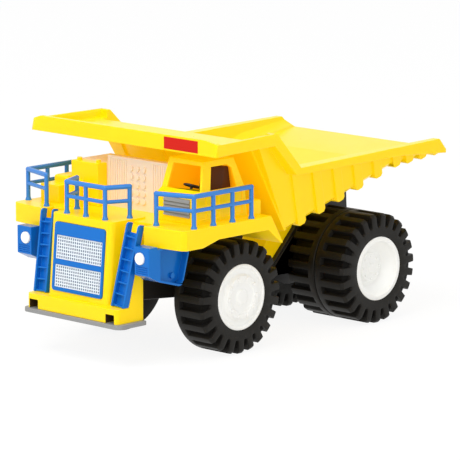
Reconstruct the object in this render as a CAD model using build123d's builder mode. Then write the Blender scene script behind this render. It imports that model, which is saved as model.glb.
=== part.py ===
from build123d import *
import os
from math import atan2, cos, degrees, hypot, radians, sin

os.makedirs("parts", exist_ok=True)

# Toy mining dump truck, in millimetres.
# +X is the front of the truck, +Y its left side, +Z up, the floor is z = 0
# and the origin lies on the floor under the middle of the truck.

# Clearances: between fitted pieces, between turning ones, under a seated
# piece and round a pressed one
fit_gap = 0.3
run_gap = 0.6
seat_gap = 0.1
press_gap = 0.03

# Wheels
tyre_radius = 64.5
tread_base_radius = 58.8
tyre_width = 43.0
tyre_shoulder = 4.8
bead_radius = 37.5
lug_count = 23
lug_top_width = 8.0
lug_root_width = 10.4
lug_root_radius = 48.0
lug_bevel = 3.2
tread_band = 8.5
band_bevel = 1.2
front_axle_x = 86.0
rear_axle_x = -144.0
wheel_face_y = 113.0
twin_gap = 0.8
axle_radius = 2.5
hub_bore_radius = axle_radius + fit_gap
hub_web = 5.0
hub_recess = 3.0
hub_boss_radius = 8.0
rear_boss_radius = 6.5
rear_boss_drop = 6.0
rear_dish = 14.0
boss_radius = 13.0

# Deck and front body
deck_top = 157.0
deck_plate = 3.2
deck_half_width = 136.5
deck_rear_x = 63.4
deck_nose_x = 200.5
deck_nose_inner_x = 206.5
deck_nose_half = 132.0
deck_corner = 4.5
fascia_bottom = 134.8
fascia_wall = 3.0
arch_bottom = 141.4
arch_front_x = 174.5
arch_top_x = 145.3
mudguard_tip_x = 43.4
mudguard_tip_z = 124.3
mudguard_inner_y = 76.0

# Radiator housing and bumper
housing_half_width = 48.5
housing_top = 159.0
housing_foot_x = 232.8
housing_head_x = 223.6
housing_round = 7.0
housing_rear_x = 172.0
shoulder_half_width = 72.5
shoulder_step = 12.0
shoulder_knee_z = 100.0
bumper_front_x = 240.3
bumper_rear_x = 199.5
bumper_top = 67.0
bumper_round = 6.0
notch_inner_y = 54.4
notch_outer_y = 67.5
notch_top = 60.8
notch_depth = 18.0
skid_bottom = 45.4
skid_thickness = 5.0
skid_front_x = 242.5
skid_half_width = 77.2
skid_round = 7.0

# Grille on the sloping front of the housing
grille_half_width = 40.0
grille_bottom = 73.5
grille_top = 150.2
grille_thickness = 4.0
grille_proud = 1.5
grille_round = 4.0
screen_half_width = 36.4
screen_rows = 7
screen_columns = 16
screen_thickness = 1.2
screen_pocket = 2.2
screen_spans = ((77.5, 103.0), (109.0, 136.0))
screen_hole_width = 2.2
screen_hole_height = 2.0

# Ladders
ladder_width = 20.4
ladder_foot_y = 62.0
ladder_head_y = 68.5
ladder_foot_x = 230.0
ladder_head_x = 211.0
ladder_head_z = 159.0
ladder_rail = 2.6
ladder_depth = 8.0
ladder_back = 2.0
ladder_back_drop = 10.5
ladder_head_round = 4.0
rung_count = 7
rung_thickness = 2.0
rung_setback = 1.6

# Lamp boxes with the dished tanks behind them
lamp_face_x = 223.0
lamp_inner_y = 82.5
lamp_outer_y = 105.0
lamp_face_top = 137.3
lamp_face_bottom = 106.0
tank_front = (207.0, 98.0)
tank_low = (171.0, 87.8)
tank_knee = (161.0, 124.0)
tank_round = 7.0
lamp_centre_y = 91.2
lamp_centre_z = 124.6
lamp_radius = 6.7
lamp_proud = 2.0
lamp_socket = 1.5
lamp_round = 1.2
louvre_count = 4
louvre_height = 1.0
louvre_pitch = 2.3
louvre_length = 18.0
dish_depth = 8.0
dish_rim = 2.4
dish_front_rim = 1.5
dish_boss_radius = 3.2
dish_boss_x = 181.0
dish_boss_z = 101.0

# Railings
rail_radius = 2.8
post_radius = 2.5
mid_rail_radius = 2.25
foot_radius = 3.7
foot_height = 4.0
rail_height = 35.5
mid_rail_height = 19.5
rail_inset = 4.5
rail_end_gap = 7.4
rail_nose_inset = 12.4
rail_corner_inset = 19.7
rail_pitch = 30.1
side_post_count = 4
centre_rail_inset = 7.1
centre_rail_depth = 26.5
centre_rail_nose_y = 30.5
centre_rail_rear_y = 42.0

# Cab
cab_front_x = 167.0
cab_rear_x = 84.0
cab_inner_y = 58.0
cab_outer_y = 119.5
cab_outer_top_y = 111.0
cab_sill = 190.0
cab_top = 224.0
cab_wall = 2.6
cab_windscreen_foot_x = 156.0
cab_windscreen_head_x = 144.0
cab_rear_waist_x = 87.5
cab_rear_top_x = 97.0
cab_sill_drop = 4.0
window_sill = 2.6
window_inner_post = 8.0
window_outer_post = 3.0
window_head = 5.0
side_window_front = 14.5
side_window_rear = 12.5
panel_height = 24.0
panel_depth = 1.4
panel_rise = 5.0
panel_spans = ((7.0, 19.0), (24.0, 39.0), (44.0, 61.0), (66.0, 76.0))
louvre_inner_inset = 14.0
louvre_outer_inset = 7.5
louvre_rise = 7.5
louvre_tall = 20.0
louvre_sink = 1.7
slat_count = 5
slat_proud = 1.6

# Cab inside
seat_width = 34.0
seat_rear_x = 95.0
seat_front_x = 134.0
seat_cushion_z = 183.0
seat_back_top = 214.0
seat_round = 2.5
dash_rear_x = 142.0
dash_top = 182.0
steering_x = 140.0
steering_z = 194.5
steering_radius = 8.2
steering_rim = 1.4
steering_column = 1.6

# Deck equipment
hood_front_x = 142.0
hood_rear_x = 95.0
hood_right_y = -86.0
hood_top = 206.0
hood_crest_top = 215.0
hood_crest_depth = 8.0
hood_rib_width = 1.6
hood_rib_pitch = 3.6
hood_rib_proud = 1.0
hood_rib_inset = 3.0
hood_rib_count = 8
boss_pad_y = 6.0
pad_boss_radius = 3.4
pad_boss_proud = 2.0
pad_pitch_y = 10.0
pad_pitch_z = 9.0
pad_columns = 3
pad_rows = 5
cabinet_front_x = 157.0
cabinet_left_y = -42.5
cabinet_pin_radius = 3.0
cabinet_pin_height = 3.0
cabinet_pin_inset = 6.5
dome_x = 169.0
dome_y = -66.0
dome_radius = 10.0
dome_height = 31.0
dome_round = 7.0
low_box = (150.0, -106.0, 44.0, 30.0, 20.0)
high_box = (143.0, -104.0, 26.0, 22.0, 9.0)
box_round = 3.0
rear_box_size = (12.0, 14.0, 17.0)
rear_box_inset = (7.2, 21.5)
rear_box_round = 1.5

# Dump bed
bed_wall = 3.2
bed_nose_x = 162.0
bed_nose_half = 146.4
bed_waist_x = 15.0
bed_waist_half = 137.4
bed_tail_x = -242.5
bed_tail_half = 130.2
bed_keel_x = 16.0
bed_keel_z = 130.0
bed_keel_half = 114.0
bed_brow_z = 236.5
bed_brow_x = 75.5
bed_brow_half = 127.6
bed_break_x = -160.0
bed_break_z = 186.2
bed_tail_floor_z = 194.0
canopy_floor = 239.5
canopy_bottom = 234.3
fascia_top = 252.1
rim_front_z = 247.6
rim_dip_x = 56.3
rim_dip_z = 248.4
rim_low_z = 205.2
rim_tail_x = -230.4
rim_tail_z = 209.4
rim_wall = 4.5
rim_band = 10.5
rim_band_drop = 7.8
tail_lip = 2.0
keel_bevel = 5.0
inner_bevel = 9.0
canopy_corner = 2.9
canopy_corner_back = 1.0
canopy_facet_inset = 15.4
canopy_facet_lean = (0.929, 0.302, 0.212)
canopy_rear_inset = 6.0
rib_depth = 2.8
rib_width = 13.0
rib_bevel = 2.5
rib_head = 5.0
rib_places = (-8.0, -39.0, -70.0, -101.0, -132.0, -163.0, -185.0, -208.0, -231.0)
headboard_bands = ((-108.0, 16.0), (-40.0, 12.0), (40.0, 12.0), (108.0, 16.0))
sticker_inset = 52.7
sticker_width = 52.0
sticker_height = 13.3
sticker_thickness = 0.4

# Bed hinge and the leg under the bed
hinge_x = -178.0
hinge_z = 168.0
hinge_pin_radius = 2.5
hinge_ear_radius = 7.0
hinge_ear = 5.0
ear_spread = 15.0
pin_proud = 1.5
leg_half = 19.0
leg_toe_x = -40.0
leg_front_x = -90.0
leg_rear_x = -118.0

# Chassis
chassis_half_front = 38.0
chassis_half_rear = 24.0
chassis_bottom = 57.0
chassis_nose_top = 88.0
chassis_waist_x = 18.0
beam_half = 20.0
beam_top = 72.0
slope_foot_x = -46.0
slope_head_x = -97.0
slope_head_z = 108.0
bead_setback = 4.5
bead_width = 2.0
bead_proud = 0.8


def finish(builder, name):
    """Label a finished piece and write it to its own file."""
    builder.part.label = name
    export_step(builder.part, f"parts/{name}.step")


def side_prism(points, half_width, half_start=0.0):
    """Prism across the truck of a side profile given as (x, z) points."""
    with BuildPart() as prism:
        with BuildSketch(Plane.XZ.offset(-half_width)):
            with BuildLine():
                Polyline(*points, close=True)
            make_face()
        extrude(amount=half_width - half_start)
        if half_start == 0.0:
            mirror(about=Plane.XZ)
    return prism.part


def plan_prism(points, bottom, top):
    """Upright prism of a half plan of (x, y) points, mirrored to both sides."""
    with BuildPart() as prism:
        with BuildSketch(Plane.XY.offset(bottom)):
            with BuildLine():
                Polyline(*points, close=True)
            make_face()
            mirror(about=Plane.XZ)
        extrude(amount=top - bottom)
    return prism.part


def place_at(z, foot, head):
    """Place on a straight line from foot (place, z) to head (place, z) at a height."""
    return foot[0] + (head[0] - foot[0]) * (z - foot[1]) / (head[1] - foot[1])


def height_at(x, start, end):
    """Height on a straight line through two (x, z) points."""
    return start[1] + (end[1] - start[1]) * (x - start[0]) / (end[0] - start[0])


# Tyres: moulded with flat-topped lugs on a carcass with as many flats, and a
# full-height band along the inner edge that closes the grooves between them.
def make_tyre(name, axle_x, face_y, outward):
    """Tyre with its face at face_y and its grooves open at the outward side."""
    face = Plane(origin=(axle_x, face_y, tyre_radius), x_dir=(0, 0, -1), z_dir=(0, outward, 0))
    outwards = Axis(face.origin, face.z_dir)
    flats = {"side_count": lug_count, "major_radius": False, "rotation": 180 / lug_count}
    with BuildPart() as one_lug:
        with BuildSketch(face):
            with BuildLine():
                Polyline(
                    (lug_root_radius, -lug_root_width / 2),
                    (tyre_radius, -lug_top_width / 2),
                    (tyre_radius, lug_top_width / 2),
                    (lug_root_radius, lug_root_width / 2),
                    close=True,
                )
            make_face()
        extrude(amount=-(tyre_width - tread_band / 2))
        outer_face = faces().sort_by(outwards)[-1]
        chamfer(outer_face.edges().sort_by(Axis.Z)[0], length=lug_bevel)
    with BuildPart() as carcass:
        with BuildSketch(face):
            RegularPolygon(tread_base_radius, **flats)
        extrude(amount=-tyre_width)
        sidewall = faces().sort_by(outwards)[-1]
        chamfer(
            sidewall.edges(),
            length=tread_base_radius - lug_root_radius,
            length2=tyre_shoulder,
            reference=sidewall,
        )
    with BuildPart() as band:
        with BuildSketch(face.offset(-tyre_width)):
            RegularPolygon(tyre_radius, **flats)
        extrude(amount=tread_band)
        chamfer(faces().sort_by(outwards)[0].edges(), length=band_bevel)
    with BuildPart() as tyre:
        add(carcass.part)
        add(band.part)
        for step in range(lug_count):
            add(one_lug.part.rotate(outwards, step * 360 / lug_count))
        with BuildSketch(face):
            RegularPolygon(bead_radius, **flats)
        extrude(amount=-tyre_width, mode=Mode.SUBTRACT)
    finish(tyre, name)


# Hubs: turned discs with a rim, a dished face and a centre boss.
def make_hub(name, axle_x, face_y, outward, face, depth):
    """White hub, with its outer face as (radius, height) points and its depth."""
    axle = Plane(origin=(axle_x, face_y, tyre_radius), x_dir=(0, 0, -1), z_dir=(0, outward, 0))
    section = Plane(origin=axle.origin, x_dir=axle.x_dir, z_dir=axle.x_dir.cross(axle.z_dir))
    web_height = face[0][1] - hub_web
    profile = list(face)
    profile += [(hub_radius, -depth), (hub_bore_radius, -depth)]
    profile += [(hub_bore_radius, web_height), (0, web_height)]
    with BuildPart() as hub:
        with BuildSketch(section):
            with BuildLine():
                Polyline(*profile, close=True)
            make_face()
        revolve(axis=Axis(axle.origin, axle.z_dir))
    finish(hub, name)


hub_radius = bead_radius - press_gap
front_face = (
    (0, 2.0),
    (hub_boss_radius, 2.0),
    (hub_boss_radius + 1.5, 0.0),
    (hub_boss_radius + 9.0, 0.5),
    (hub_boss_radius + 10.5, 2.4),
    (hub_boss_radius + 17.0, 2.4),
    (hub_boss_radius + 18.5, -hub_recess),
    (hub_radius - 5.0, -hub_recess),
    (hub_radius - 3.5, 0.6),
    (hub_radius, 0.0),
)
rear_face = (
    (0, -rear_boss_drop),
    (rear_boss_radius, -rear_boss_drop),
    (rear_boss_radius + 1.0, -rear_dish),
    (2 * rear_boss_radius + 1.0, -rear_dish),
    (hub_radius - 7.0, -4.0),
    (hub_radius - 5.5, 0.8),
    (hub_radius, 0.0),
)
twin_depth = 2 * tyre_width + twin_gap
for side_name, outward in (("left", 1), ("right", -1)):
    outer_y = outward * wheel_face_y
    inner_y = outward * (wheel_face_y - twin_depth)
    make_tyre(f"front_{side_name}_tyre", front_axle_x, outer_y, outward)
    make_tyre(f"rear_{side_name}_outer_tyre", rear_axle_x, outer_y, outward)
    make_tyre(f"rear_{side_name}_inner_tyre", rear_axle_x, inner_y, -outward)
    make_hub(f"front_{side_name}_hub", front_axle_x, outer_y, outward, front_face, tyre_width)
    make_hub(f"rear_{side_name}_hub", rear_axle_x, outer_y, outward, rear_face, twin_depth)

# Axles: steel rods that stay in the chassis, each as long as its hubs allow
for end_name, axle_x, face in (
    ("front", front_axle_x, front_face),
    ("rear", rear_axle_x, rear_face),
):
    axle_half = wheel_face_y + face[0][1] - hub_web - fit_gap
    with BuildPart() as axle:
        with BuildSketch(Plane.XZ.offset(-axle_half)):
            with Locations((axle_x, tyre_radius)):
                Circle(axle_radius)
        extrude(amount=2 * axle_half)
    finish(axle, f"{end_name}_axle")

# Chassis: a black moulded backbone. It is wide and tall under the deck, low
# between the axles and narrow between the twin tyres, where its sloping front
# edge carries the leg of the bed.
deck_under = deck_top - deck_plate
chassis_nose_x = bumper_rear_x - fit_gap
tower_front_x = front_axle_x + 62.0
tower_rear_x = front_axle_x + 2.0
front_profile = (
    (chassis_nose_x, chassis_bottom + 9.0),
    (chassis_nose_x, chassis_nose_top),
    (tower_front_x + 17.0, chassis_nose_top + 12.0),
    (tower_front_x, deck_under - seat_gap),
    (tower_rear_x, deck_under - seat_gap),
    (tower_rear_x - 28.0, 118.0),
    (chassis_waist_x, beam_top),
    (chassis_waist_x, chassis_bottom),
    (front_axle_x + 14.0, chassis_bottom),
)
beam_profile = (
    (chassis_waist_x + 10.0, chassis_bottom),
    (chassis_waist_x + 10.0, beam_top),
    (slope_head_x, beam_top),
    (slope_head_x, chassis_bottom),
)
rear_profile = (
    (slope_foot_x, chassis_bottom),
    (slope_head_x, slope_head_z),
    (hinge_x + 40.0, hinge_z - 26.0),
    (hinge_x + hinge_ear_radius, hinge_z - 6.0),
    (hinge_x - hinge_ear_radius, hinge_z - 6.0),
    (hinge_x - 10.0, 110.0),
    (hinge_x - 16.0, chassis_bottom + 8.0),
    (rear_axle_x, chassis_bottom - 5.0),
)
front_backbone = side_prism(front_profile, chassis_half_front)
low_beam = side_prism(beam_profile, beam_half)
rear_backbone = side_prism(rear_profile, chassis_half_rear)
front_boss_half = wheel_face_y - tyre_width - run_gap
rear_boss_half = wheel_face_y - twin_depth - run_gap
slope_bead = side_prism(
    (
        (slope_foot_x - bead_setback, chassis_bottom),
        (slope_foot_x - bead_setback - bead_width, chassis_bottom),
        (slope_head_x - bead_setback - bead_width, slope_head_z),
        (slope_head_x - bead_setback, slope_head_z),
    ),
    chassis_half_rear + bead_proud,
)
with BuildPart() as chassis:
    add(front_backbone)
    add(low_beam)
    add(rear_backbone)
    add(slope_bead)
    for axle_x, half in ((front_axle_x, front_boss_half), (rear_axle_x, rear_boss_half)):
        with BuildSketch(Plane.XZ.offset(-half)):
            with Locations((axle_x, tyre_radius)):
                Circle(boss_radius)
        extrude(amount=2 * half)
    with BuildSketch(Plane.XZ.offset(-chassis_half_rear)):
        with Locations((hinge_x, hinge_z)):
            Circle(hinge_ear_radius)
    extrude(amount=2 * chassis_half_rear)
    for axle_x in (front_axle_x, rear_axle_x):
        with BuildSketch(Plane.XZ.offset(-front_boss_half - 1.0)):
            with Locations((axle_x, tyre_radius)):
                Circle(axle_radius)
        extrude(amount=2 * front_boss_half + 2.0, mode=Mode.SUBTRACT)
    with BuildSketch(Plane.XZ.offset(-chassis_half_rear)):
        with Locations((hinge_x, hinge_z)):
            Circle(hinge_pin_radius)
    extrude(amount=2 * chassis_half_rear, mode=Mode.SUBTRACT)
finish(chassis, "chassis")

# Hinge pin of the bed, held in the chassis.
ear_inner_y = chassis_half_rear + run_gap
with BuildPart() as hinge_pin:
    pin_half = ear_inner_y + hinge_ear + pin_proud
    with BuildSketch(Plane.XZ.offset(-pin_half)):
        with Locations((hinge_x, hinge_z)):
            Circle(hinge_pin_radius)
    extrude(amount=2 * pin_half)
finish(hinge_pin, "hinge_pin")

# Bumper skid plate
with BuildPart() as skid_plate:
    with BuildSketch(Plane.XY.offset(skid_bottom)):
        with BuildLine():
            Polyline(
                (bumper_rear_x, -skid_half_width),
                (skid_front_x, -skid_half_width),
                (skid_front_x, skid_half_width),
                (bumper_rear_x, skid_half_width),
                close=True,
            )
        make_face()
        fillet(vertices().group_by(Axis.X)[-1], radius=skid_round)
    extrude(amount=skid_thickness)
finish(skid_plate, "skid_plate")

# Radiator housing: the sloping front box, the shoulders behind the ladders
# and the bumper box at its foot.
skid_top = skid_bottom + skid_thickness
housing_slope = (housing_head_x - housing_foot_x) / (housing_top - skid_top)


def housing_x(z):
    """Front face of the housing at a height."""
    return housing_foot_x + housing_slope * (z - skid_top)


front_tilt = degrees(atan2(-housing_slope, 1.0))
grille_plane = Plane(
    origin=(housing_x(grille_bottom), 0, grille_bottom),
    x_dir=(0, 1, 0),
    z_dir=(cos(radians(front_tilt)), 0, sin(radians(front_tilt))),
)
grille_height = (grille_top - grille_bottom) / cos(radians(front_tilt))
ladder_foot_back = ladder_foot_x - ladder_depth - fit_gap
ladder_head_back = ladder_head_x - ladder_depth - fit_gap
shoulder_profile = (
    (bumper_rear_x, skid_top),
    (ladder_foot_back, skid_top),
    (ladder_foot_back, bumper_top),
    (ladder_head_back, fascia_bottom + 10.0),
    (ladder_head_back - shoulder_step, deck_under),
    (housing_rear_x + 10.0, deck_under),
    (bumper_rear_x, shoulder_knee_z),
)
shoulders = side_prism(shoulder_profile, shoulder_half_width)
with BuildPart() as housing:
    with BuildSketch(Plane.XZ.offset(-housing_half_width)):
        with BuildLine():
            Polyline(
                (housing_rear_x, deck_top),
                (housing_rear_x, housing_top),
                (housing_head_x, housing_top),
                (housing_foot_x, skid_top),
                (bumper_rear_x, skid_top),
                (bumper_rear_x, deck_under),
                (housing_rear_x, deck_under),
                close=True,
            )
        make_face()
    extrude(amount=2 * housing_half_width)
    front_face_of_box = faces().filter_by(lambda f: f.normal_at().X > 0.9).sort_by(Axis.X)[-1]
    sloping_edges = front_face_of_box.edges().filter_by(lambda e: e.length > housing_top - skid_top)
    fillet(sloping_edges, radius=housing_round)
    add(shoulders)
    with BuildSketch(Plane.XY.offset(skid_top)):
        with BuildLine():
            Polyline(
                (bumper_rear_x, -shoulder_half_width),
                (bumper_front_x, -shoulder_half_width),
                (bumper_front_x, shoulder_half_width),
                (bumper_rear_x, shoulder_half_width),
                close=True,
            )
        make_face()
        fillet(vertices().group_by(Axis.X)[-1], radius=bumper_round)
    extrude(amount=bumper_top - skid_top)
    with BuildSketch(grille_plane.offset(grille_proud - grille_thickness)):
        with Locations((0, grille_height / 2)):
            RectangleRounded(
                2 * (grille_half_width + fit_gap),
                grille_height + 2 * fit_gap,
                grille_round,
            )
    extrude(amount=2 * grille_thickness, mode=Mode.SUBTRACT)
    for side in (-1, 1):
        with BuildSketch(Plane.XY.offset(skid_top)):
            with Locations((bumper_front_x, side * (notch_inner_y + notch_outer_y) / 2)):
                Rectangle(2 * notch_depth, notch_outer_y - notch_inner_y)
        extrude(amount=notch_top - skid_top, mode=Mode.SUBTRACT)
finish(housing, "radiator_housing")

# Grille plate with two pockets for the screens
grille_face = grille_proud + seat_gap
with BuildPart() as grille_plate:
    with BuildSketch(grille_plane.offset(grille_face - grille_thickness)):
        with Locations((0, grille_height / 2)):
            RectangleRounded(2 * grille_half_width, grille_height, grille_round)
    extrude(amount=grille_thickness)
    for low, high in screen_spans:
        with BuildSketch(grille_plane.offset(grille_face - screen_pocket)):
            with Locations((0, (low + high) / 2 - grille_bottom)):
                Rectangle(2 * screen_half_width, high - low)
        extrude(amount=screen_pocket, mode=Mode.SUBTRACT)
finish(grille_plate, "grille_plate")

# Screens: two white plates pierced by a grid of small windows
with BuildPart() as grille_screens:
    for low, high in screen_spans:
        screen_height = high - low - 2 * fit_gap
        screen_width = 2 * (screen_half_width - fit_gap)
        with BuildSketch(grille_plane.offset(grille_face - screen_pocket + seat_gap)):
            with Locations((0, (low + high) / 2 - grille_bottom)):
                Rectangle(screen_width, screen_height)
                with GridLocations(
                    screen_width / (screen_columns + 0.5),
                    screen_height / (screen_rows + 0.5),
                    screen_columns,
                    screen_rows,
                ):
                    Rectangle(screen_hole_width, screen_hole_height, mode=Mode.SUBTRACT)
        extrude(amount=screen_thickness)
finish(grille_screens, "grille_screens")

# Deck: plate with a hanging fascia, wheel arches and sloping mudguards
ladder_clear_y = ladder_head_y + ladder_width / 2 + fit_gap + 1.0
deck_step_x = ladder_head_back - shoulder_step
void_rear_x = deck_rear_x - 5.0
deck_plan = (
    (deck_rear_x, 0),
    (deck_step_x, 0),
    (deck_step_x, ladder_clear_y),
    (deck_nose_inner_x, ladder_clear_y),
    (deck_nose_x, deck_nose_half),
    (deck_nose_x - deck_corner, deck_half_width),
    (deck_rear_x, deck_half_width),
)
deck_hollow = (
    (void_rear_x, 0),
    (deck_step_x - shoulder_step, 0),
    (deck_step_x - shoulder_step, ladder_clear_y + fascia_wall),
    (deck_nose_inner_x - fascia_wall, ladder_clear_y + fascia_wall),
    (deck_nose_x - fascia_wall, deck_nose_half - 1.0),
    (deck_nose_x - deck_corner - 1.0, deck_half_width - fascia_wall),
    (void_rear_x, deck_half_width - fascia_wall),
)
front_skirt_cut = plan_prism(
    (
        (void_rear_x, 0),
        (deck_nose_inner_x + 5.0, 0),
        (deck_nose_inner_x + 5.0, ladder_clear_y - fit_gap),
        (void_rear_x, ladder_clear_y - fit_gap),
    ),
    fascia_bottom - 1.0,
    deck_under,
)
arch_cut = side_prism(
    (
        (arch_front_x, fascia_bottom - 1.0),
        (arch_top_x, arch_bottom),
        (void_rear_x, arch_bottom),
        (void_rear_x, fascia_bottom - 1.0),
    ),
    deck_half_width + 5.0,
)
deck_block = plan_prism(deck_plan, fascia_bottom, deck_top)
deck_void = plan_prism(deck_hollow, fascia_bottom - 1.0, deck_under)
guard_profile = (
    (deck_rear_x + 4.0, deck_top),
    (deck_rear_x - 0.5, deck_top),
    (mudguard_tip_x, mudguard_tip_z),
    (mudguard_tip_x + 2.5, mudguard_tip_z - 0.5),
    (deck_rear_x + 4.0, arch_bottom),
)
mudguards = side_prism(guard_profile, deck_half_width, mudguard_inner_y)
housing_pocket = plan_prism(
    (
        (housing_rear_x - fit_gap, 0),
        (deck_nose_x + 20.0, 0),
        (deck_nose_x + 20.0, housing_half_width + fit_gap),
        (housing_rear_x - fit_gap, housing_half_width + fit_gap),
    ),
    fascia_bottom,
    deck_top + 1.0,
)
with BuildPart() as deck:
    add(deck_block)
    add(deck_void, mode=Mode.SUBTRACT)
    add(front_skirt_cut, mode=Mode.SUBTRACT)
    add(arch_cut, mode=Mode.SUBTRACT)
    add(mudguards)
    mirror(mudguards, about=Plane.XZ)
    add(housing_pocket, mode=Mode.SUBTRACT)
finish(deck, "deck")

# Ladders: two rails, a back plate and rungs, leaning back and outwards
ladder_up = Vector(
    ladder_head_x - ladder_foot_x,
    ladder_head_y - ladder_foot_y,
    ladder_head_z - bumper_top,
)
ladder_across = (Vector(0, 1, 0) - ladder_up * (ladder_up.Y / ladder_up.length**2)).normalized()
ladder_plane = Plane(
    origin=(ladder_foot_x, ladder_foot_y, bumper_top + fit_gap),
    x_dir=ladder_across,
    z_dir=ladder_across.cross(ladder_up).normalized(),
)
ladder_length = ladder_up.length
rung_pitch = ladder_length / (rung_count + 0.35)
with BuildPart() as ladder_left:
    with BuildSketch(ladder_plane):
        for side in (-1, 1):
            with Locations((side * (ladder_width - ladder_rail) / 2, ladder_length / 2)):
                Rectangle(ladder_rail, ladder_length)
    extrude(amount=-ladder_depth)
    rail_heads = edges().filter_by(Axis(ladder_plane.origin, ladder_across)).filter_by(
        lambda e: ladder_plane.to_local_coords(e.center()).Y > ladder_length - 1.0
        and ladder_plane.to_local_coords(e.center()).Z > -1.0
    )
    fillet(rail_heads, radius=ladder_head_round)
    with BuildSketch(ladder_plane.offset(-ladder_depth)):
        with Locations((0, (ladder_length - ladder_back_drop) / 2)):
            Rectangle(ladder_width, ladder_length - ladder_back_drop)
    extrude(amount=ladder_back)
    with BuildSketch(ladder_plane.offset(-rung_setback)):
        for step in range(rung_count):
            with Locations((0, rung_thickness + step * rung_pitch)):
                Rectangle(ladder_width - ladder_rail, rung_thickness)
    extrude(amount=-(ladder_depth - rung_setback - ladder_back / 2))
    with BuildSketch(Plane.XY.offset(bumper_top + fit_gap)):
        with Locations((ladder_foot_x, ladder_foot_y)):
            Rectangle(4 * ladder_width, 4 * ladder_width)
    extrude(amount=-ladder_width, mode=Mode.SUBTRACT)
finish(ladder_left, "ladder_left")
with BuildPart() as ladder_right:
    mirror(ladder_left.part, about=Plane.XZ)
finish(ladder_right, "ladder_right")

# Lamp boxes: a lamp face with louvres in front, a dished tank behind
tank_top = fascia_bottom - fit_gap
lamp_back_x = deck_nose_inner_x + 3.0
tank_outline = (tank_front, tank_low, tank_knee, (tank_knee[0], tank_top))
dish_front_x = tank_front[0] - dish_front_rim
lamp_profile = (
    (lamp_face_x, lamp_face_top),
    (lamp_face_x, lamp_face_bottom),
    *tank_outline,
    (lamp_back_x, tank_top),
    (lamp_back_x, lamp_face_top),
)
with BuildPart() as lamp_box_left:
    with BuildSketch(Plane.XZ.offset(-lamp_outer_y)):
        with BuildLine():
            Polyline(*lamp_profile, close=True)
        make_face()
        fillet(vertices().group_by(Axis.Y)[0], radius=tank_round)
    extrude(amount=lamp_outer_y - shoulder_half_width - fit_gap)
    with BuildSketch(Plane.XY.offset(tank_low[1] - 1.0)):
        with Locations((lamp_face_x, shoulder_half_width)):
            Rectangle(2 * (lamp_face_x - tank_front[0] + 4.0), 2 * (lamp_inner_y - shoulder_half_width))
    extrude(amount=lamp_face_top - tank_low[1] + 2.0, mode=Mode.SUBTRACT)
    with BuildSketch(Plane.XZ.offset(-lamp_outer_y)):
        with BuildLine():
            Polyline(*tank_outline, (tank_front[0], tank_top), close=True)
        make_face()
        offset(amount=-dish_rim, kind=Kind.INTERSECTION)
        fillet(vertices().group_by(Axis.Y)[0], radius=tank_round - dish_rim)
    extrude(amount=dish_depth, mode=Mode.SUBTRACT)
    with BuildSketch(Plane.XZ.offset(dish_depth - lamp_outer_y)):
        with Locations((dish_boss_x, dish_boss_z)):
            Circle(dish_boss_radius)
    extrude(amount=-dish_depth / 3)
    with BuildSketch(Plane.YZ.offset(lamp_face_x)):
        with Locations((lamp_centre_y, lamp_centre_z)):
            Circle(lamp_radius + fit_gap)
    extrude(amount=-lamp_socket, mode=Mode.SUBTRACT)
    with BuildSketch(Plane.YZ.offset(lamp_face_x)):
        for step in range(louvre_count):
            louvre_z = lamp_face_bottom + louvre_pitch * (step + 1)
            with Locations(((lamp_inner_y + lamp_outer_y) / 2, louvre_z)):
                Rectangle(louvre_length, louvre_height)
    extrude(amount=-louvre_height, mode=Mode.SUBTRACT)
finish(lamp_box_left, "lamp_box_left")
with BuildPart() as lamp_box_right:
    mirror(lamp_box_left.part, about=Plane.XZ)
finish(lamp_box_right, "lamp_box_right")

for side_name, side in (("left", 1), ("right", -1)):
    with BuildPart() as lamp:
        with BuildSketch(Plane.YZ.offset(lamp_face_x - lamp_socket + seat_gap)):
            with Locations((side * lamp_centre_y, lamp_centre_z)):
                Circle(lamp_radius)
        extrude(amount=lamp_socket + lamp_proud)
        fillet(faces().sort_by(Axis.X)[-1].edges(), radius=lamp_round)
    finish(lamp, f"lamp_{side_name}")


# Railings: posts with flared feet, a top rail and a mid rail
def make_railing(name, posts, path, floor):
    """Railing with its posts at (x, y) and its rails along a path of (x, y)."""
    with BuildPart() as railing:
        for x, y in posts:
            with BuildSketch(Plane.XY.offset(floor)):
                with Locations((x, y)):
                    Circle(post_radius)
            extrude(amount=rail_height)
            with Locations((x, y, floor)):
                Cone(foot_radius, post_radius, foot_height,
                     align=(Align.CENTER, Align.CENTER, Align.MIN))
        for radius, height in ((rail_radius, rail_height), (mid_rail_radius, mid_rail_height)):
            for (x0, y0), (x1, y1) in zip(path, path[1:]):
                run = Vector(x1 - x0, y1 - y0, 0)
                start = Plane(origin=(x0, y0, floor + height), z_dir=run.normalized())
                with BuildSketch(start):
                    Circle(radius)
                extrude(amount=run.length)
            for x, y in path:
                with Locations((x, y, floor + height)):
                    Sphere(radius)
    finish(railing, name)


deck_seat = deck_top + seat_gap
rail_y = deck_half_width - rail_inset
nose_post = (deck_nose_inner_x - rail_nose_inset, ladder_clear_y + rail_end_gap)
side_posts = [nose_post]
for step in range(side_post_count):
    side_posts.append((deck_nose_x - rail_corner_inset - step * rail_pitch, rail_y))
side_path = (side_posts[0], side_posts[1], side_posts[-1])
for side_name, side in (("left", 1), ("right", -1)):
    make_railing(
        f"railing_{side_name}",
        [(x, side * y) for x, y in side_posts],
        [(x, side * y) for x, y in side_path],
        deck_seat,
    )
centre_nose_x = housing_head_x - centre_rail_inset
centre_rear_x = centre_nose_x - centre_rail_depth
centre_path = (
    (centre_rear_x, -centre_rail_rear_y),
    (centre_nose_x, -centre_rail_nose_y),
    (centre_nose_x, centre_rail_nose_y),
    (centre_rear_x, centre_rail_rear_y),
)
centre_posts = (*centre_path, (centre_nose_x, 0.0))
make_railing("railing_centre", centre_posts, centre_path, housing_top + seat_gap)

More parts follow.
